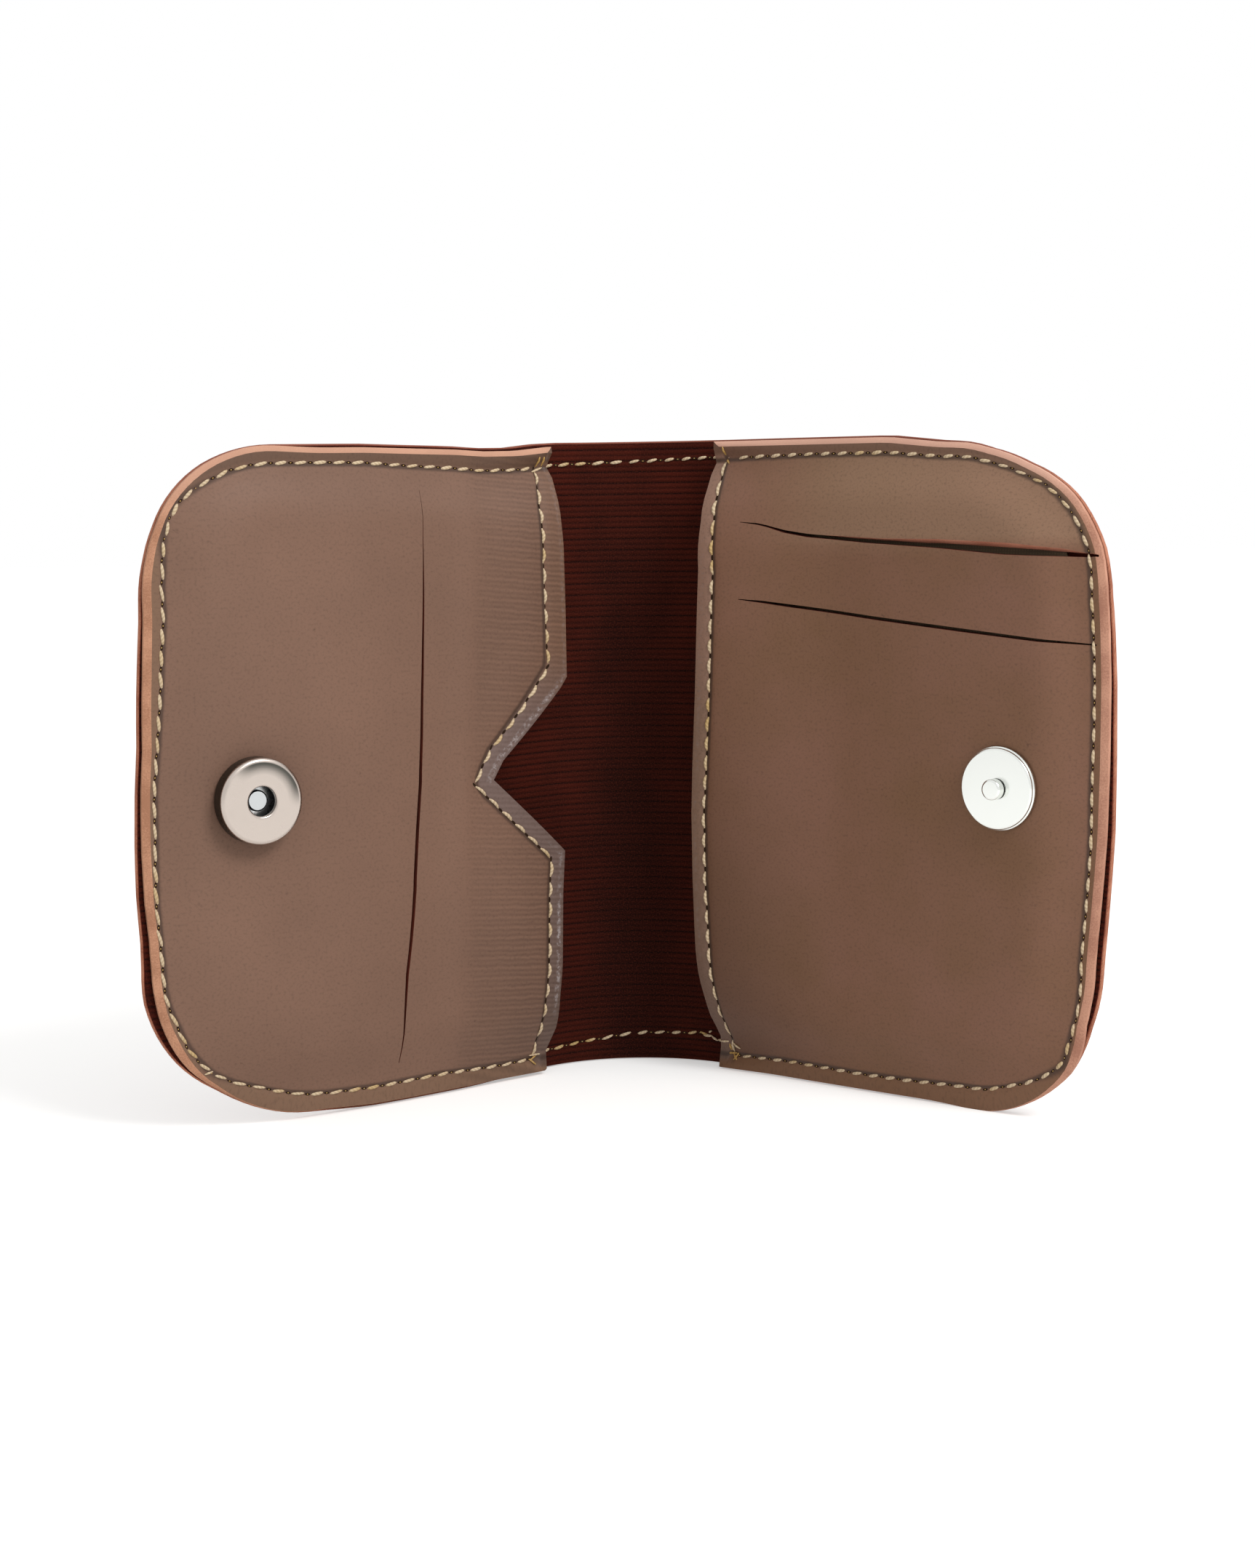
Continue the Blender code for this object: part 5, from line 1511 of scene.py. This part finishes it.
# %% [markdown]
# ## Painted reflection and shade on the cap
#
# The cap's face shows a dark reflection in a crescent along its top, and its wall lies in shade. Both are
# painted: an attribute on the cap's points marks where, and the metal's finish mixes a dark grey in there, so
# the mark follows the stamping and needs no picture.

# %% Mark the painted reflection and shade
CAP_FACE = 3.2 * MM
WALL_RADIUS = 6.9 * MM
WALL_DROP = 0.6 * MM
CRESCENT_FROM = 4.2 * MM
CRESCENT_WIDTH = 2.0 * MM
CRESCENT_TURN = -0.5
CRESCENT_EDGE = 1.6
CRESCENT_START = 0.4


def mark_reflection_and_shade(bm):
    """A painted dark reflection lies as a crescent along the top of the cap's face, and painted shade on its wall."""
    layer = bm.verts.layers.float.new("reflection_and_shade")
    for vert in bm.verts:
        radius = math.hypot(vert.co.x, vert.co.y)
        if vert.co.z > CAP_FACE - CUT_TOLERANCE:
            high = ease((CRESCENT_TURN * vert.co.x - vert.co.y) / radius * CRESCENT_EDGE - CRESCENT_START)
            vert[layer] = high * ease((radius - CRESCENT_FROM) / CRESCENT_WIDTH)
        else:
            vert[layer] = float(radius > WALL_RADIUS and vert.co.z < CAP_FACE - WALL_DROP)


print("film marked down to", round((CAP_FACE - WALL_DROP) / MM, 1), "mm above the cap's foot")

# %% Build the snap
CAP = ([(2.9, 3.2), (3.6, 3.2), (4.3, 3.2), (5.0, 3.2), (5.5, 3.2), (5.9, 3.2), (6.2, 3.2)]
       + rounded(6.3, 2.5, 0.7, 84, 0)
       + [(7.0, 0.06), (6.94, 0.0), (6.55, 0.0), (6.55, 2.2), (6.2, 2.75), (2.7, 2.75), (2.45, 2.3)]
       + rounded(2.75, 2.85, 0.35, 180, 96))
PLATE = ([(1.1, 1.1), (6.2, 1.1)] + rounded(6.2, 0.75, 0.35, 84, 0)
         + [(6.55, 0.6), (6.75, 0.4), (6.75, 0.0), (6.35, 0.0), (6.1, 0.7), (1.1, 0.7)])
STUD = ([(0.0, 2.8), (1.3, 2.8)] + rounded(1.3, 2.4, 0.4, 84, 0)
        + [(1.7, 1.4), (0.8, 1.4), (0.8, 0.6), (0.0, 0.6)])

for name, side, node, finish, profile in (("snap_cap", LEFT, "snap_socket_cap", SATIN_NICKEL, CAP),
                                          ("snap_plate", RIGHT, "snap_stud_plate", BRIGHT_NICKEL, PLATE),
                                          ("snap_stud_post", RIGHT, "snap_stud", BRIGHT_NICKEL, STUD)):
    bm = bmesh.new()
    turn_profile(bm, profile, profile is not STUD)
    if profile is CAP:
        mark_reflection_and_shade(bm)
    finish_metal(bm, name, side, node, finish)
for name, finish in (("snap_socket_base", POST_NICKEL), ("snap_socket_magnet", SINTERED_MAGNET),
                     ("snap_socket_washer", ZINC_STEEL), ("snap_stud_base", ZINC_STEEL),
                     ("snap_stud_washer", ZINC_STEEL)):
    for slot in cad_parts[name].material_slots:
        slot.material = finish
print("snap at", [round(value / MM, 1) for value in snap_frame(LEFT).translation], "mm")

# %% [markdown]
# ## Floor, light and camera
#
# The wallet stands on a plain white table in soft daylight. A large lamp up on the right gives the gentle
# direction of the light, and the white surroundings fill the shadows. The floor stays white towards the camera
# and still keeps a soft shadow.

# %% Floor
FLOOR_SIZE = 6.0
WHITE_FROM = 0.05
WHITE_TO = 0.3
GLOW_NEAR = 0.42
GLOW_FAR = 0.48
WHITE = (1.0, 1.0, 1.0, 1.0)


def make_floor():
    """Matt white whose glow only the camera and reflections see, so that it adds no light to the wallet."""
    material, add = new_material("matt_white_table", 0.9)
    far = add("VectorMath", {0: add("TexCoord").outputs["Object"]}, operation="LENGTH")
    glow = add("MapRange", {"Value": far, "From Min": WHITE_FROM, "From Max": WHITE_TO, "To Min": GLOW_NEAR,
                            "To Max": GLOW_FAR})
    path = add("LightPath").outputs
    seen = add("Math", {0: path["Is Camera Ray"], 1: path["Is Glossy Ray"]}, operation="MAXIMUM")
    strength = add("Math", {0: glow, 1: seen}, operation="MULTIPLY")
    return set_shader(material, {"Base Color": "#f0f0ee", "Emission Color": WHITE, "Emission Strength": strength})


bm = bmesh.new()
bmesh.ops.create_grid(bm, x_segments=1, y_segments=1, size=FLOOR_SIZE / 2)
mesh_object(bm, "table_top", [make_floor()])
print("table top", FLOOR_SIZE, "m across")

# %% World and lamp
FILL = 0.62
KEY_POWER = 3.4
KEY_SIZE = 0.35
KEY_PLACE = Vector((0.42, -0.42, 0.62))
KEY_AIM = Vector((0.0, 0.0, 0.05))

world = bpy.data.worlds.new("white_room")
world.use_nodes = True
path = add_node(world, "LightPath").outputs
direct = add_node(world, "Math", {0: path["Is Camera Ray"], 1: path["Is Glossy Ray"]}, operation="MAXIMUM")
seen = add_node(world, "Math", {0: direct, 1: path["Is Transmission Ray"]}, operation="MAXIMUM")
level = add_node(world, "MapRange", {"Value": seen, "To Min": FILL, "To Max": 1.0})
set_inputs(world, world.node_tree.nodes["Background"], {"Color": WHITE, "Strength": level})
bpy.context.scene.world = world

key_data = bpy.data.lights.new("key_lamp", "AREA")
key_data.shape = "DISK"
key_data.size = KEY_SIZE
key_data.energy = KEY_POWER
key_lamp = add_object("key_lamp", key_data)
key_lamp.location = KEY_PLACE
key_lamp.rotation_euler = (KEY_AIM - KEY_PLACE).to_track_quat("-Z", "Y").to_euler()
print("lamp", round(KEY_PLACE.length, 2), "m away")

# %% Camera
CAMERA_PLACE = Vector((0.00059, -0.44728, 0.1039))
CAMERA_TILT = math.radians(6.51)
CAMERA_ROLL = 0.0161
CAMERA_LENS = 61.78
SENSOR_WIDTH = 36.0

ahead = Vector((0.0, math.cos(CAMERA_TILT), -math.sin(CAMERA_TILT)))
level_up = Vector((0.0, math.sin(CAMERA_TILT), math.cos(CAMERA_TILT)))
sideways = Vector((1.0, 0.0, 0.0)) * math.cos(CAMERA_ROLL) - level_up * math.sin(CAMERA_ROLL)
camera_data = bpy.data.cameras.new("camera")
camera_data.lens = CAMERA_LENS
camera_data.sensor_width = SENSOR_WIDTH
camera_data.sensor_fit = "AUTO"
camera = add_object("camera", camera_data)
turn = Matrix((sideways, sideways.cross(ahead), -ahead)).transposed()
camera.matrix_world = Matrix.Translation(CAMERA_PLACE) @ turn.to_4x4()
bpy.context.scene.camera = camera
bpy.context.scene.view_settings.view_transform = "Standard"
print("camera lens", CAMERA_LENS, "mm")
